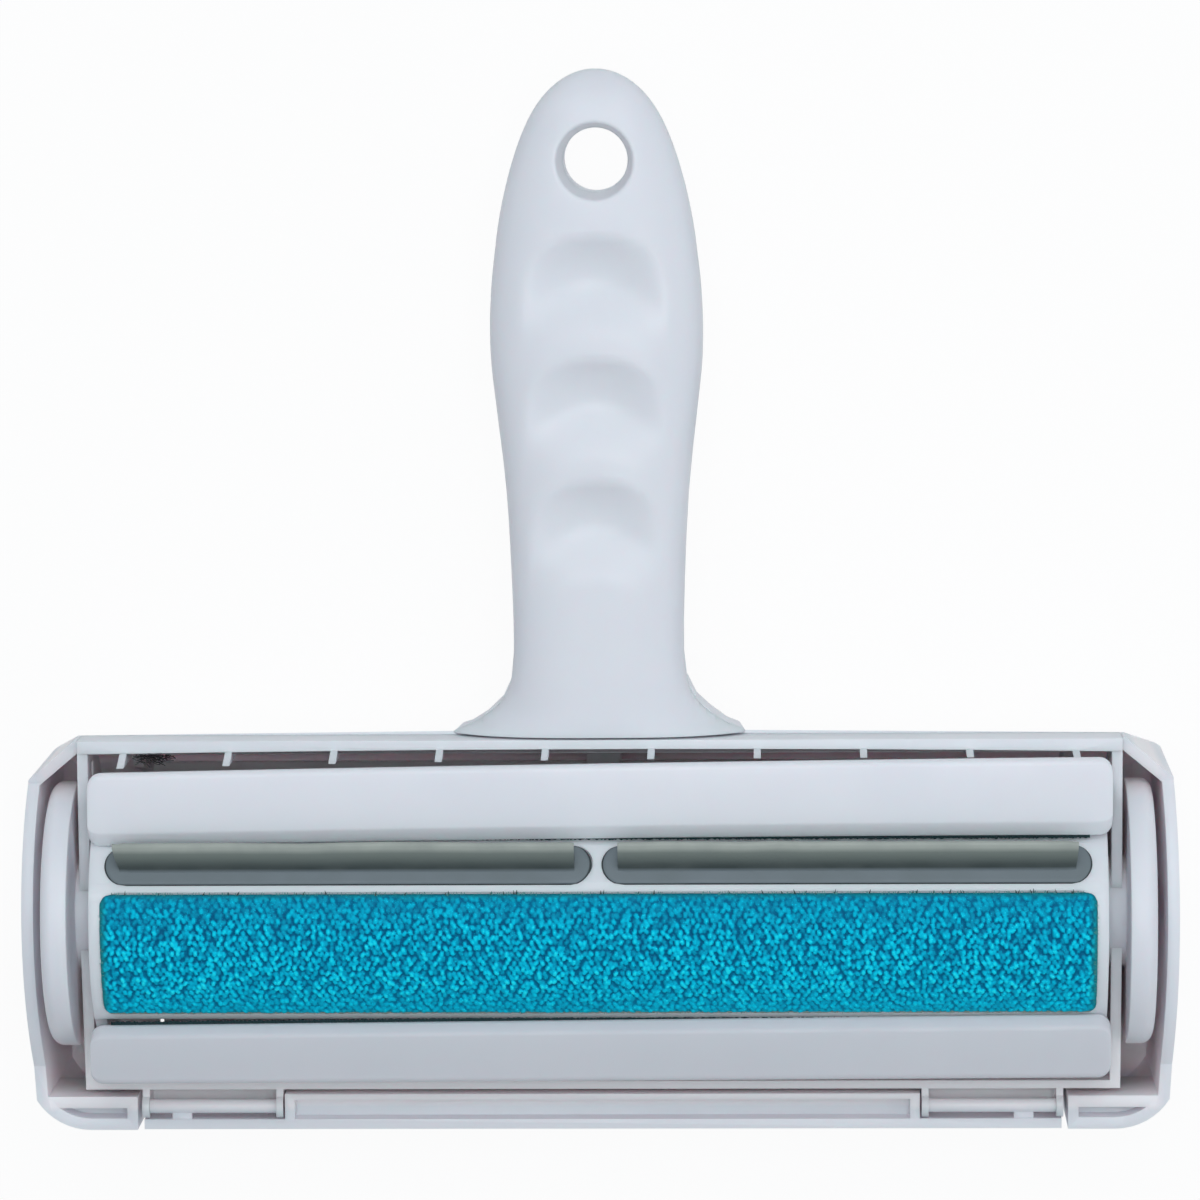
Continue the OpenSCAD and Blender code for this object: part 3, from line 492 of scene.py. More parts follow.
# %% Dress the mouldings
for node, material, slot, edge in [
    ("housing", white_shell, "shell", 0.3), ("roller_frame", white_shell, "shell", 0.2),
    ("drum_shell", white_shell, "shell", 0.2),
    ("left_end_disc", white_shell, "shell", 0.3), ("right_end_disc", white_shell, "shell", 0.3),
    ("dust_lid", white_shell, "shell", 0.25), ("release_button", grey_shell, "shell_grey", 0.3),
]:
    piece = dress(node, material, edge, settled=node in ("housing", "roller_frame"))
    print(piece.name, len(piece.data.polygons), "faces")

# %% [markdown]
# The metal pieces have no bevel. The screws keep their own meshes. The spring is a copy, because
# it has to be squashed when the button goes in: its seat stays, and the button's end moves.


def paint(node, material):
    mesh = frame["nodes"][node].data
    mesh.materials.clear()
    mesh.materials.append(material)


for node in ("left_disc_screw", "right_disc_screw"):
    paint(node, plated_steel)
spring = dress("button_spring", plated_steel, edge=0)
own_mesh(spring)
print("plain nodes finished")

# %% [markdown]
# Cloth strips and rubber pads are both skins on the drum: a rectangle with round corners, wrapped
# around the axis, with a skirt that reaches into its recess. One function makes both. It takes a
# grid of distances along the drum and around it, and a rule for the height at each point.

# %% Skins on the drum
SKIN_R = 21.8       # where a skin's width is laid around the drum
SKIN_ROOT = 21.55   # a skin's border, just under the drum's face


def new_piece(name, points, faces, material, body, nodes=()):
    mesh = bpy.data.meshes.new(name)
    mesh.from_pydata(points, [], faces)
    mesh.validate()
    mesh.materials.append(material)
    piece = bpy.data.objects.new(name, mesh)
    bpy.context.scene.collection.objects.link(piece)
    if nodes:
        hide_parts(*nodes)
    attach(piece, body)
    return piece


def around(x, reach, turn):
    """Points in metres at these distances along the axis and from it, turned toward the handle."""
    spot = [AXIS.x + x * MM, AXIS.y + reach * np.sin(turn) * MM, AXIS.z + reach * np.cos(turn) * MM]
    return np.stack(spot, axis=-1)


def drum_skin(name, material, nodes, middle_x, middle_turn, half_x, half_v, corner,
              columns, rows, height, foot):
    v = np.linspace(-half_v, half_v, rows)
    over = np.maximum(np.abs(v) - (half_v - corner), 0)
    reach_x = half_x - corner + np.sqrt(np.maximum(corner ** 2 - over ** 2, 0))
    u = np.linspace(-1, 1, columns)
    x = u[None, :] * reach_x[:, None]
    across = np.repeat(v[:, None], columns, axis=1)
    border = np.minimum(half_v - np.abs(across), reach_x[:, None] - np.abs(x))
    top = height(x, across, border)
    turn = middle_turn + across / SKIN_R
    points = around(middle_x + x, top, turn).reshape(-1, 3)
    grid = np.arange(rows * columns).reshape(rows, columns)
    cells = [grid[:-1, :-1], grid[:-1, 1:], grid[1:, 1:], grid[1:, :-1]]
    faces = np.stack(cells, axis=-1).reshape(-1, 4).tolist()
    loop = np.concatenate([grid[0, :], grid[1:, -1], grid[-1, -2::-1], grid[-2:0:-1, 0]])
    count = len(points)
    skirt = around((middle_x + x).ravel()[loop], np.full(len(loop), foot), turn.ravel()[loop])
    low = count + np.arange(len(loop))
    n = len(loop)
    faces += [(loop[i], low[i], low[i - n + 1], loop[i - n + 1]) for i in range(n)]
    piece = new_piece(name, np.concatenate([points, skirt]).tolist(),
                      [tuple(map(int, f))[::-1] for f in faces], material, "drum", nodes)
    piece.data.shade_smooth()
    return piece


print("skin helper ready")

# %% [markdown]
# The guide bars are loosely seated, and in the photograph neither lies quite straight: both rise a
# little toward the right, and the upper one is bowed. They are also hollow under their outer edge,
# which is why the slot beside the upper bar looks deep. So the bars are drawn again here as a soft
# edged section swept along their own slightly crooked line.

# %% Guide bars
def soft_section(corners, radius, steps=4):
    """Round a section's corners. A corner is (sideways, up), perhaps with a radius of its own."""
    out = []
    n = len(corners)
    for i in range(n):
        here = Vector(corners[i][:2])
        reach = corners[i][2] if len(corners[i]) > 2 else radius
        before = (Vector(corners[i - 1][:2]) - here)
        after = (Vector(corners[(i + 1) % n][:2]) - here)
        reach = min(reach, before.length * 0.45, after.length * 0.45)
        start, end = here + before.normalized() * reach, here + after.normalized() * reach
        for k in range(steps + 1):
            t = k / steps
            out.append(start.lerp(here, t).lerp(here.lerp(end, t), t))
    return out


def sweep_bar(name, node, material, section, width, near, far, left, right, corner):
    """Sweep a section, drawn from 0 to its width, between the lines near(x) and far(x)."""
    places = [left + corner * (1 - math.cos(a)) for a in (k * math.pi / 16 for k in range(9))]
    places += [left + corner + (right - left - 2 * corner) * k / 40 for k in range(1, 40)]
    places += [right - corner * (1 - math.cos(a)) for a in (k * math.pi / 16 for k in range(8, -1, -1))]
    points, faces = [], []
    for x in places:
        end = max(0.0, corner - min(x - left, right - x))
        draw_in = corner - math.sqrt(max(0.0, corner ** 2 - end ** 2))
        share = 1 - 2 * draw_in / abs(width)
        middle, reach = (near(x) + far(x)) / 2, far(x) - near(x)
        for sideways, up in section:
            points.append(tuple(at(x, middle + (sideways / width - 0.5) * reach * share, up)))
    n = len(section)
    for i in range(len(places) - 1):
        for k in range(n):
            a, b = i * n + k, i * n + (k + 1) % n
            faces.append((a, b, b + n, a + n))
    faces.append(tuple(range(n)))
    faces.append(tuple((len(places) - 1) * n + k for k in range(n - 1, -1, -1)))
    piece = new_piece(name, points, faces, material, "brush_head", (node,))

    def soften(mesh):
        outward(mesh)
        sharp = [e for e in mesh.edges if len(e.link_faces) == 2 and e.calc_face_angle(0) > 0.7]
        bmesh.ops.bevel(mesh, geom=sharp, offset=0.35 * MM, segments=3, affect="EDGES", clamp_overlap=True)

    rework(piece, soften)
    smooth(piece, 40)
    return piece


def crooked(start, rise, bow=0.0):
    """A bar's edge line: its place at the middle, its rise toward the right and its bow."""
    return lambda x: start + rise * x - bow * (x / 86) ** 2


UPPER_WIDTH, LOWER_WIDTH = 12.75, -10.6
upper_near, upper_far = crooked(15.36, 0.0088, 0.38), crooked(28.1, 0.013, 0.25)
lower_near, lower_far = crooked(-16.0, 0.0095), crooked(-26.45, 0.005)
upper_section = soft_section([
    (0, 16.8, 0.25), (2.3, 17.85, 0.3), (UPPER_WIDTH, 17.75, 1.2), (UPPER_WIDTH, 15.3, 0.5),
    (10.4, 14.6), (10.2, 1.0), (8.2, 1.0), (7.6, 8.0, 1.0), (3.4, 15.2, 1.0), (0, 16.2, 0.25)], 0.4)
lower_section = soft_section([
    (0, 16.5, 0.4), (-1.9, 17.6, 0.6), (LOWER_WIDTH, 17.6, 1.1), (LOWER_WIDTH, 2.0), (-9.0, 1.0),
    (-7.2, 2.0), (-6.6, 8.0, 1.0), (-3.2, 14.2, 1.0), (0, 15.3, 0.5)], 0.4)
upper_bar = sweep_bar("upper_bar", "upper_guide_bar", white_shell, upper_section,
                      UPPER_WIDTH, upper_near, upper_far, -86.8, 87.3, 2.2)
lower_bar = sweep_bar("lower_bar", "lower_guide_bar", grey_shell, lower_section,
                      LOWER_WIDTH, lower_near, lower_far, -87.0, 87.1, 2.2)
print("bar faces:", len(upper_bar.data.polygons), len(lower_bar.data.polygons))

# %% [markdown]
# Each bar has a strip of pile on its inner face that wipes the drum. All that shows of it is a dark
# ragged line in the gap, so it is made as a thin curtain whose tips stand at different heights. Its
# near-black colour is painted shade for the shadow in the gap.

# %% Wiper pile
WIPER_HALF = 83.5


def wiper_curtain(name, node, edge, side, drop, seed):
    """A curtain behind a bar's edge line. Its tips keep clear of the pile on the drum."""
    dice = random.Random(seed)
    points, faces = [], []
    columns = 700
    for i in range(columns + 1):
        x = -WIPER_HALF + 2 * WIPER_HALF * i / columns
        tip = 0.58 + dice.uniform(-0.16, 0.12)
        rise = dice.uniform(-0.12, 0.1)
        ring = [(1.9, 14.2), (1.7, 15.9), (0.3, 16.2),
                (-tip, 16.25 + rise), (-tip * 0.8, 15.95), (1.2, 14.4)]
        for sideways, up in ring:
            y, z = edge(x) + side * sideways, up - drop
            clear = math.sqrt(max(0.0, PILE_REACH ** 2 - z ** 2))
            points.append(tuple(at(x, y if abs(y) > clear else math.copysign(clear, y), z)))
        if i:
            a = (i - 1) * 6
            faces += [(a + k, a + (k + 1) % 6, a + 6 + (k + 1) % 6, a + 6 + k) for k in range(6)]
    faces += [tuple(range(6)), tuple(columns * 6 + k for k in range(5, -1, -1))]
    piece = new_piece(name, points, faces, shaded_wiper_pile, "brush_head", (node,))
    rework(piece, outward)
    return piece


upper_wiper = wiper_curtain("upper_wiper", "upper_wiper_strip", upper_near, 1, -0.3, 21)
lower_wiper = wiper_curtain("lower_wiper", "lower_wiper_strip", lower_near, -1, 0.12, 22)
print("wiper faces:", len(upper_wiper.data.polygons), len(lower_wiper.data.polygons))

# %% [markdown]
# The handle is the part that the hand and the eye meet first. Its front half swells to a palm, has
# three finger rests and flares out where it joins the head. A lofted solid gives the form, but the
# rests and the rim of the hanging hole want many more points than a drawing should have. So the
# front half is a height over its outline: rings of points that crowd toward the edge, circles of
# points round the hole, and one triangulation over all of them. The hole narrows toward the back.

# %% Rules of the handle's form
HANDLE_LENGTH, HANDLE_HALF, HANDLE_RISE = 113.5, 18.2, 8.4
HOLE_Y = HEAD_TOP + HANDLE_LENGTH - 15.5
HOLE_R, HOLE_BACK_R, HOLE_RIM = 6.45, 5.55, 0.5
REST_HALVES, REST_DEPTH, REST_ARCH, REST_PITCH = (12.8, 12.6, 11.8), 2.65, 8.6, 20.8
FLARE = 0.085       # the share of the handle's length that its foot takes
WIDTHS = [(-0.09, 1.48), (0, 1.374), (0.0106, 1.22), (0.029, 1.033), (0.0467, 0.923), (0.065, 0.857),
          (0.09, 0.819), (0.138, 0.802), (0.266, 0.824), (0.378, 0.865), (0.486, 0.94), (0.557, 0.989),
          (0.61, 1), (0.6626, 0.989), (0.736, 0.953), (0.879, 0.94), (1.006, 1.016)]
HEIGHTS = [(0, 0.952), (0.2, 1), (0.5, 1), (0.7, 0.95), (0.85, 0.85), (1, 0.72)]


def curve(stops, v):
    """A smooth curve through (place, value) pairs."""
    i = max(k for k in range(len(stops) - 1) if k == 0 or v >= stops[k][0])
    def slope(k):
        a, b = max(k - 1, 0), min(k + 1, len(stops) - 1)
        return (stops[b][1] - stops[a][1]) / (stops[b][0] - stops[a][0])
    h = stops[i + 1][0] - stops[i][0]
    t = (v - stops[i][0]) / h
    return ((2 * t ** 3 - 3 * t ** 2 + 1) * stops[i][1] + (t ** 3 - 2 * t ** 2 + t) * h * slope(i)
            + (3 * t ** 2 - 2 * t ** 3) * stops[i + 1][1] + (t ** 3 - t ** 2) * h * slope(i + 1))


def tip_share(f, start):
    """How much is left where the tip rounds off like an ellipse from this start."""
    return 1.0 if f <= start else math.sqrt(max(0.0, 1 - ((f - start) / (1 - start)) ** 2))


def step(v):
    """A soft step from 0 to 1."""
    v = min(1.0, max(0.0, v))
    return v * v * (3 - 2 * v)


def rest_depth(x, y):
    """A rest falls away from an arched edge, lies flat for a while and runs out toward the head."""
    deepest = 0.0
    for k, half in enumerate(REST_HALVES):
        if abs(x) >= half:
            continue
        round_off = 1 - (x / half) ** 2
        d = HOLE_Y - 12.4 - REST_ARCH * (1 - math.sqrt(round_off)) - k * REST_PITCH - y
        if d > 0:
            fall = 1 - (1 - min(1.0, d / 8.5)) ** 2
            run_out = 1 - step((d - 7.5) / 10.0)
            deepest = max(deepest, fall * step(d + 0.3) * run_out * round_off ** 1.3)
    return REST_DEPTH * deepest


def half_width(f):
    """The handle's half width at a share of its length."""
    return HANDLE_HALF * curve(WIDTHS, f) * tip_share(f, 0.689)


def handle_height(x, y):
    """The front's height over the drum's axis: a full oval section, and a bell at the foot."""
    f = (y - HEAD_TOP) / HANDLE_LENGTH
    side = min(1.0, abs(x) / max(half_width(f), 1e-6))
    oval = (1 - side ** 3) ** (1 / 3)
    bell = (1 - side ** 3) ** 0.8
    flare = step((FLARE - f) / FLARE)
    rise = oval * (1 - flare) + bell * flare
    top = HANDLE_RISE * curve(HEIGHTS, f) * tip_share(f, 0.93) * rise
    rim = 0.0
    inside = HOLE_RIM - (math.hypot(x, y - HOLE_Y) - HOLE_R)
    if inside > 0:
        rim = HOLE_RIM - math.sqrt(max(0.0, HOLE_RIM ** 2 - inside ** 2))
    return SEAM + max(0.0, top - rest_depth(x, y) * rise ** 1.5 - rim)


print("handle height at its middle:", round(handle_height(0, HEAD_TOP + 40), 2), "mm")


# %% Front half of the handle
def front_spots():
    """Spots over the handle's outline, and the numbers of those on the outline in their order."""
    places = [-0.0026, 0.0, 0.0016, 0.0034, 0.0065] + [0.0106 * k for k in range(1, 16)]
    places += [0.17 + 0.0102 * k for k in range(66)] + [0.848 + 0.0085 * k for k in range(15)]
    places += [0.973, 0.98, 0.986, 0.991, 0.9945, 0.997, 0.9988, 0.9997]
    steps = 44
    spots, left, right, foot_row, tip_row = [], [], [], [], []
    for i, f in enumerate(places):
        half = half_width(f)
        y = HEAD_TOP + f * HANDLE_LENGTH
        for k in range(steps + 1):
            c = math.cos(math.pi * k / steps)
            x = half * math.copysign(abs(c) ** (2 / 3), c)
            if k in (0, steps):
                (right if k == 0 else left).append(len(spots))
            elif math.hypot(x, y - HOLE_Y) < HOLE_R + 4.2:
                continue
            if i in (0, len(places) - 1) and 0 < k < steps:
                (foot_row if i == 0 else tip_row).append(len(spots))
            spots.append(Vector((x, y)))
    return spots, right + tip_row + left[::-1] + foot_row[::-1]


def build_front():
    spots, outline = front_spots()
    hole = []
    for k, away in enumerate((0, 0.05, 0.13, 0.25, 0.4, 0.55, 0.9, 1.6, 2.5, 3.5)):
        for i in range(72):
            a = math.tau * (i + 0.5 * (k % 2)) / 72
            if k == 0:
                hole.append(len(spots))
            spots.append(Vector(((HOLE_R + away) * math.cos(a), HOLE_Y + (HOLE_R + away) * math.sin(a))))
    borders = [(ring[i - 1], ring[i]) for ring in (outline, hole) for i in range(len(ring))]
    flat, _, triangles, _, _, _ = delaunay_2d_cdt(spots, borders, [], 1, 1e-6)
    points = [(p.x, p.y, handle_height(p.x, p.y)) for p in flat]

    def from_hole(x, y):
        return math.hypot(x, y - HOLE_Y) - HOLE_R

    faces = [tuple(t) for t in triangles
             if from_hole(sum(flat[i].x for i in t) / 3, sum(flat[i].y for i in t) / 3) > -0.02]
    count = len(points)
    points += [(p.x, p.y, SEAM) for p in flat]
    edges = {}
    for face in faces:
        for i in range(3):
            edges.setdefault(frozenset((face[i], face[(i + 1) % 3])), []).append((face[i], face[(i + 1) % 3]))
    walls, throat = [], {}
    for a, b in (uses[0] for uses in edges.values() if len(uses) == 1):
        if max(from_hole(flat[i].x, flat[i].y) for i in (a, b)) > 0.02:
            walls.append((b, a, a + count, b + count))
            continue
        for i in (a, b):
            if i not in throat:
                throat[i] = len(points)
                turn = math.atan2(flat[i].y - HOLE_Y, flat[i].x)
                points.append((HOLE_BACK_R * math.cos(turn), HOLE_Y + HOLE_BACK_R * math.sin(turn), SEAM))
        walls += [(b, a, throat[a], throat[b]), (throat[b], throat[a], a + count, b + count)]
    faces += [tuple(i + count for i in f[::-1]) for f in faces] + walls
    piece = new_piece("handle_front", [tuple(at(*p)) for p in points], faces, white_shell,
                      "brush_head", ("handle_cover",))

    def clean(mesh):
        bmesh.ops.remove_doubles(mesh, verts=mesh.verts, dist=2e-6)
        bmesh.ops.dissolve_degenerate(mesh, edges=mesh.edges, dist=1e-6)
        outward(mesh)

    rework(piece, clean)
    smooth(piece, 50)
    return piece


front_half = build_front()
print("handle faces:", len(front_half.data.polygons))

# %% [markdown]
# The loops stand in staggered rows a good millimetre apart, each an oval tuft with its own turn and
# height. Where two tufts miss each other a pit is left. The middle of the strip is combed open by
# use, so its tufts stand higher there than beside the long edges.

# %% Cloth with its loops
def chance(a, b, seed):
    """A repeatable random number from 0 to 1 for each pair of whole numbers."""
    wave = np.sin(a * 12.9898 + b * 78.233 + seed * 37.719) * 43758.5453
    return wave - np.floor(wave)


def tufts(x, v, seed, pitch_x=1.02, pitch_v=0.92):
    """The height of the loops, from 0 in a pit to 1 on the tallest tip."""
    row = np.floor(v / pitch_v)
    best = np.zeros_like(x)
    for down in (-1, 0, 1):
        for side in (-1, 0, 1):
            r = row + down
            shift = 0.5 * np.mod(r, 2)
            c = np.floor(x / pitch_x - shift) + side
            spot_x = (c + 0.5 + shift + 0.55 * (chance(c, r, seed) - 0.5)) * pitch_x
            spot_v = (r + 0.5 + 0.55 * (chance(c, r, seed + 1) - 0.5)) * pitch_v
            lean = (chance(c, r, seed + 2) - 0.5) * 1.5
            dx, dv = x - spot_x, v - spot_v
            long = dx * np.sin(lean) + dv * np.cos(lean)
            wide = dx * np.cos(lean) - dv * np.sin(lean)
            near = np.clip(1 - np.abs(long / 0.62) ** 2.6 - np.abs(wide / 0.43) ** 2.6, 0, 1)
            best = np.maximum(best, (0.42 + 0.58 * chance(c, r, seed + 3)) * near ** 0.4)
    return best


def ease(value):
    value = np.clip(value, 0, 1)
    return value * value * (3 - 2 * value)


def pile_height(seed, stand=0.66):
    """The rule for a strip's height, whose loops stand this many millimetres."""
    def height(x, v, border):
        combed = 0.5 + 0.5 * ease(1.45 - np.abs(v) / 7.5)
        loops = tufts(x, v, seed) * combed
        ragged = 0.25 * (chance(np.floor(x / 0.6), np.floor(v / 0.6), seed + 9) - 0.5)
        edge = ease((border + ragged + 0.12) / 0.5)
        ground = edge * (0.17 + 0.30 * (1 - combed))
        return SKIN_ROOT + ground + ease((border + 0.1) / 0.9) * loops * stand
    return height


CLOTH_BACK = 21.05      # the cloth's underside, in its recess
front_cloth = drum_skin("front_cloth", front_pile, ("front_fabric_strip",), 0,
                        REST - STRIP_TURN - 0.006, STRIP_HALF_X + 0.3, STRIP_HALF_V + 0.15, 1.9,
                        780, 108, pile_height(3), CLOTH_BACK)
rear_cloth = drum_skin("rear_cloth", rear_pile, ("rear_fabric_strip",), 0,
                       REST + STRIP_TURN, STRIP_HALF_X, STRIP_HALF_V, 2.2,
                       560, 78, pile_height(8, 0.3), CLOTH_BACK)
print("cloth faces:", len(front_cloth.data.polygons), len(rear_cloth.data.polygons))

# %% [markdown]
# Scissors cut the cloth, so single fibres stick out over its border, and the dark glue shows in
# short ticks along the upper edge. These are thin blades that lie on the drum.

# %% Loose fibres along the cut
def blades(name, material, specs):
    """Each spec has a start and an end as (x, turn), two heights and a width, in mm and radians."""
    points, faces = [], []
    for (x0, t0), (x1, t1), low, high, width in specs:
        across = Vector((x1 - x0, (t1 - t0) * PATTERN_R)).normalized().orthogonal() * (width / 2)
        first = len(points)
        bend = ((x0 + x1) / 2, (t0 + t1) / 2, high, 0.8)
        for x, turn, reach, share in ((x0, t0, low, 1.0), bend, (x1, t1, low + 0.1, 0.15)):
            for side in (share, -share):
                spot = around(x + across.x * side, reach, turn + across.y * side / PATTERN_R)
                points.append(spot.tolist())
        faces += [(first, first + 1, first + 3, first + 2), (first + 2, first + 3, first + 5, first + 4)]
    return new_piece(name, points, faces, material, "drum")


def border_fibres(dice, count, reach_out, width, upper_only=False):
    """Blades over the front cloth's border, each up to reach_out millimetres long."""
    middle = REST - STRIP_TURN
    specs = []
    for _ in range(count):
        side = dice.random()
        if upper_only or side < 0.45:
            x, v, out = dice.uniform(-82.5, 82.5), STRIP_HALF_V, (dice.uniform(-0.5, 0.5), 1)
        elif side < 0.8:
            x, v, out = dice.uniform(-82.5, 82.5), -STRIP_HALF_V, (dice.uniform(-0.5, 0.5), -1)
        else:
            end = dice.choice((-1, 1))
            x, v, out = end * STRIP_HALF_X, dice.uniform(-9.4, 9.4), (end, dice.uniform(-0.5, 0.5))
        length = dice.uniform(0.4, 1.0) * reach_out
        start = (x - out[0] * 0.5, middle + (v - out[1] * 0.5) / PATTERN_R)
        end = (x + out[0] * length, middle + (v + out[1] * length) / PATTERN_R)
        specs.append((start, end, dice.uniform(21.62, 21.72), dice.uniform(21.74, 21.95),
                      width * dice.uniform(0.7, 1.3)))
    return specs


dice = random.Random(11)
fibre_green = plain("fibre_green", (0.06, 0.34, 0.34), 0.8)
glue_dark = plain("glue_dark", (0.02, 0.06, 0.06), 0.7)
cloth_fringe = blades("cloth_fringe", fibre_green, border_fibres(dice, 900, 0.55, 0.13))
glue_ticks = blades("glue_ticks", glue_dark, border_fibres(dice, 46, 0.8, 0.3, upper_only=True))
print("fibres:", len(cloth_fringe.data.polygons) // 2, "ticks:", len(glue_ticks.data.polygons) // 2)

# %% [markdown]
# Each rubber piece is a flat pad with one fin. The solid has the fin straight, as it is moulded.
# The photographed one has been bent toward the handle by use, with a slight wave, and its ends
# flare a little outward at the tip.

# %% Pads and fins
def pad_height(x, v, border):
    """A flat pad with a round edge and a low lip along it."""
    rounded = np.sqrt(np.clip(1 - (1 - np.clip(border / 0.7, 0, 1)) ** 2, 0, 1))
    lip = 0.05 * ease(1 - np.abs(border - 0.7) / 0.4)
    return SKIN_ROOT + 0.36 * rounded + lip


def fin_section(bow):
    """The fin's outline from one root over the tip to the other, as (sideways, up) in mm."""
    length, steps = 4.7, 9
    middle, left, right = (0.0, 0.0), [], []
    for i in range(steps + 1):
        s = i / steps
        lean = bow * s
        if i:
            last = bow * (s - 0.5 / steps)
            middle = (middle[0] + math.sin(last) * length / steps, middle[1] + math.cos(last) * length / steps)
        half = 0.9 - 0.34 * s + 0.55 * max(0.0, 1 - s * 5) ** 2
        left.append((middle[0] - math.cos(lean) * half, middle[1] + math.sin(lean) * half))
        right.append((middle[0] + math.cos(lean) * half, middle[1] - math.sin(lean) * half))
    half = 0.56
    cap = [(middle[0] + half * math.sin(bow + a), middle[1] + half * math.cos(bow + a))
           for a in (math.radians(k) for k in (-60, -30, 0, 30, 60))]
    return left + cap + right[::-1]


PAD_TURN = REST - math.radians(0.8)
FIN_BOW = math.radians(44)


def make_fin(side, ends, inner, outer, flare, seed):
    """A pad with its fin. side is -1 on the left and 1 on the right."""
    name = ("left" if side < 0 else "right") + "_rubber"
    pad = drum_skin(name + "_pad", fin_rubber, (name + "_fin",), side * (ends[0] + ends[1]) / 2,
                    PAD_TURN, (ends[1] - ends[0]) / 2, 3.7, 3.69, 150, 25, pad_height, 21.3)
    columns = 90
    section = fin_section(FIN_BOW)
    points, faces = [], []
    for i in range(columns + 1):
        share = i / columns
        wave = noise.noise(Vector((share * 4.0, seed, 0.0))) * 0.35
        wave += noise.noise(Vector((share * 13.0, seed, 4.0))) * 0.1
        for sideways, up in section:
            rise = max(0.0, up) / 5.0
            x = inner + (outer + flare * rise - inner) * share
            end = min(share, 1 - share) * columns
            soft = 1.0 if end >= 1 else 0.94
            out = SKIN_R + up * (1.0 if end >= 1 else 0.985)
            v = sideways * soft + wave * rise
            turn = PAD_TURN + math.atan2(v, out)
            points.append(around(side * x, math.hypot(v, out), turn).tolist())
    n = len(section)
    for i in range(columns):
        for k in range(n - 1):
            a = i * n + k
            faces.append((a, a + 1, a + n + 1, a + n))
    faces.append(tuple(range(n)))
    faces.append(tuple(columns * n + k for k in range(n - 1, -1, -1)))
    if side < 0:
        faces = [f[::-1] for f in faces]
    fin = new_piece(name + "_blade", points, faces, fin_rubber, "drum")
    smooth(fin, 50)
    return pad, fin


left_pad, left_fin = make_fin(-1, (1.0, 84.0), 3.9, 81.2, 1.1, 2.0)
right_pad, right_fin = make_fin(1, (0.6, 83.9), 3.5, 81.0, 0.4, 7.0)
print("fins:", left_fin.name, right_fin.name)

# %% [markdown]
# A tuft of dark hair is caught in the slot behind the upper bar, at its left end. It is dirt that
# the photograph shows, so it stays: a few dozen fine strands, bent and crossed.

# %% Hair in the slot
def hair_tuft(count, seed):
    """Bent strands, each a thin three-sided tube, that stay inside the slot."""
    dice = random.Random(seed)
    points, faces = [], []
    for _ in range(count):
        x, y, z = dice.uniform(-78.8, -74.2), dice.uniform(27.4, 29.2), dice.uniform(2.0, 9.5)
        heading = Vector((dice.uniform(0.5, 1.0) * dice.choice((-1, 1)),
                          dice.uniform(-0.35, 0.35), dice.uniform(-0.5, 0.5)))
        heading.normalize()
        curl = Vector((dice.uniform(-0.3, 0.3), dice.uniform(-0.3, 0.3), dice.uniform(-0.4, 0.2)))
        steps, stride, thick = 6, dice.uniform(0.35, 0.6), dice.uniform(0.05, 0.09)
        spot = Vector((x, y, z)) - heading * stride * 3
        first = len(points)
        for i in range(steps + 1):
            side = heading.orthogonal().normalized()
            other = heading.cross(side)
            for k in range(3):
                angle = k * math.tau / 3
                out = side * math.cos(angle) + other * math.sin(angle)
                points.append(tuple(at(*(spot + out * thick))))
            spot = spot + heading * stride
            spot.y = min(max(spot.y, 27.2), 29.4)
            heading = (heading + curl * 0.5).normalized()
        for i in range(steps):
            for k in range(3):
                a, b = first + i * 3 + k, first + i * 3 + (k + 1) % 3
                faces.append((a, b, b + 3, a + 3))
    return new_piece("caught_hair", points, faces, hair_dark, "brush_head")


hair_dark = plain("hair_dark", (0.035, 0.03, 0.032), 0.55)
caught_hair = hair_tuft(90, 5)
print("strands:", len(caught_hair.data.polygons) // 18)

# %% [markdown]
# The brush lies on a pale studio floor. The camera sees the floor as plain white, as in a catalogue
# picture, while every other ray sees a matte floor that bounces light back up under the head.

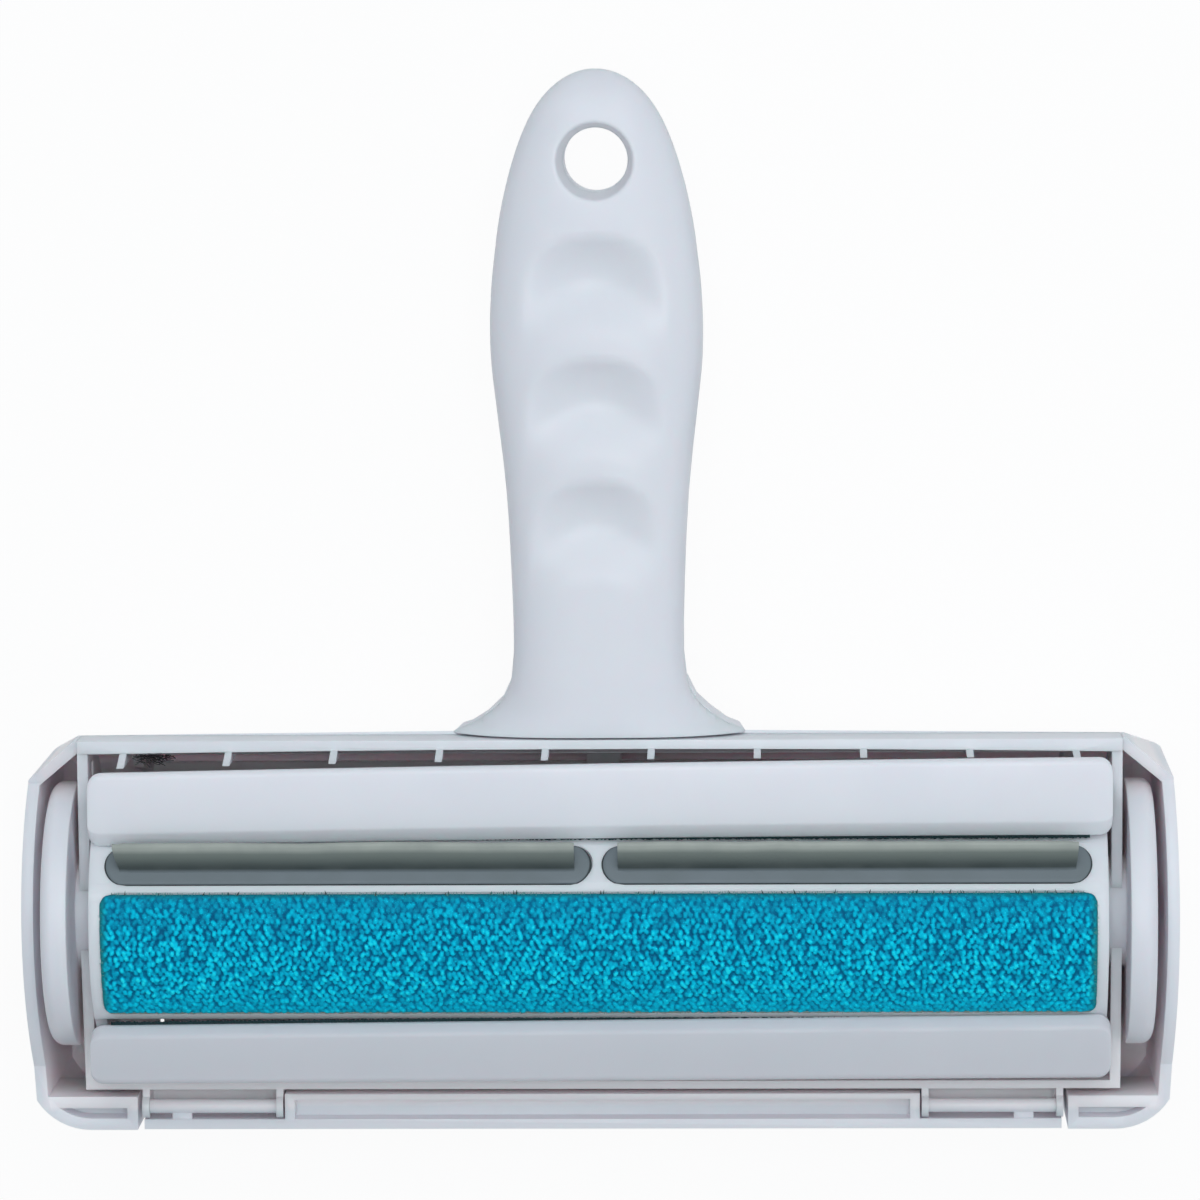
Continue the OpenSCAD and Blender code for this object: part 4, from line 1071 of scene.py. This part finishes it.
# %% Floor and backdrop
def studio_floor():
    material = bpy.data.materials.new("studio_floor")
    tree = empty_tree(material)
    rays = tree.nodes.new("ShaderNodeLightPath")
    camera_ray, glossy, through = (Tone(tree, rays.outputs[n]) for n in (
        "Is Camera Ray", "Is Glossy Ray", "Is Transmission Ray"))
    seen = camera_ray.largest(glossy).largest(through)
    matte = make(tree, "ShaderNodeBsdfDiffuse", None, {"Color": (0.86, 0.87, 0.88)})
    glow = make(tree, "ShaderNodeEmission", None, {"Color": (1.0, 1.0, 1.0), "Strength": 1.0})
    mixed = make(tree, "ShaderNodeMixShader", None, {0: seen * 0.93, 1: matte, 2: glow})
    output = tree.nodes.new("ShaderNodeOutputMaterial")
    tree.links.new(mixed.socket, output.inputs[0])
    mesh = bpy.data.meshes.new("floor")
    reach = 3.0
    corners = [(-reach, -reach, 0), (reach, -reach, 0), (reach, reach, 0), (-reach, reach, 0)]
    mesh.from_pydata(corners, [], [(0, 1, 2, 3)])
    floor = bpy.data.objects.new("floor", mesh)
    floor.location.z = -0.0002
    bpy.context.scene.collection.objects.link(floor)
    mesh.materials.append(material)
    return floor


floor = studio_floor()
print("floor at z =", floor.location.z)

# %% [markdown]
# The light in the photograph is broad and soft and comes from above and behind the handle, so the
# lips of the bars shade the drum a little. One wide lamp does that, a smaller one near the camera
# opens the slots, a weak one lifts the right side, and a pale world fills the rest.

# %% Lamps and world
def lamp(name, eye, target, size, watts, colour):
    data = bpy.data.lights.new(name, "AREA")
    data.shape, data.size = "SQUARE", size
    data.energy, data.color = watts, colour
    light = bpy.data.objects.new(name, data)
    bpy.context.scene.collection.objects.link(light)
    light.location = eye
    light.rotation_euler = (target - eye).to_track_quat("-Z", "Y").to_euler()
    return light


COOL = (0.92, 0.965, 1.0)
lamp("soft_box", at(60, 740, 1100), at(0, 20, 0), 0.9, 5.3, COOL)
lamp("front_box", at(60, 200, 1350), at(0, 20, 0), 0.4, 4.9, (0.93, 0.965, 1.0))
lamp("side_fill", at(800, -200, 700), at(0, 0, 0), 0.7, 1.2, COOL)


def studio_world():
    world = bpy.data.worlds.new("studio_world")
    tree = empty_tree(world)
    rays = tree.nodes.new("ShaderNodeLightPath")
    seen = Tone(tree, rays.outputs["Is Camera Ray"])
    fill = make(tree, "ShaderNodeBackground", None, {"Color": (0.875, 0.94, 1.0), "Strength": 0.37})
    white = make(tree, "ShaderNodeBackground", None, {"Color": (1.0, 1.0, 1.0), "Strength": 1.0})
    mixed = make(tree, "ShaderNodeMixShader", None, {0: seen, 1: fill, 2: white})
    output = tree.nodes.new("ShaderNodeOutputWorld")
    tree.links.new(mixed.socket, output.inputs[0])
    bpy.context.scene.world = world


studio_world()
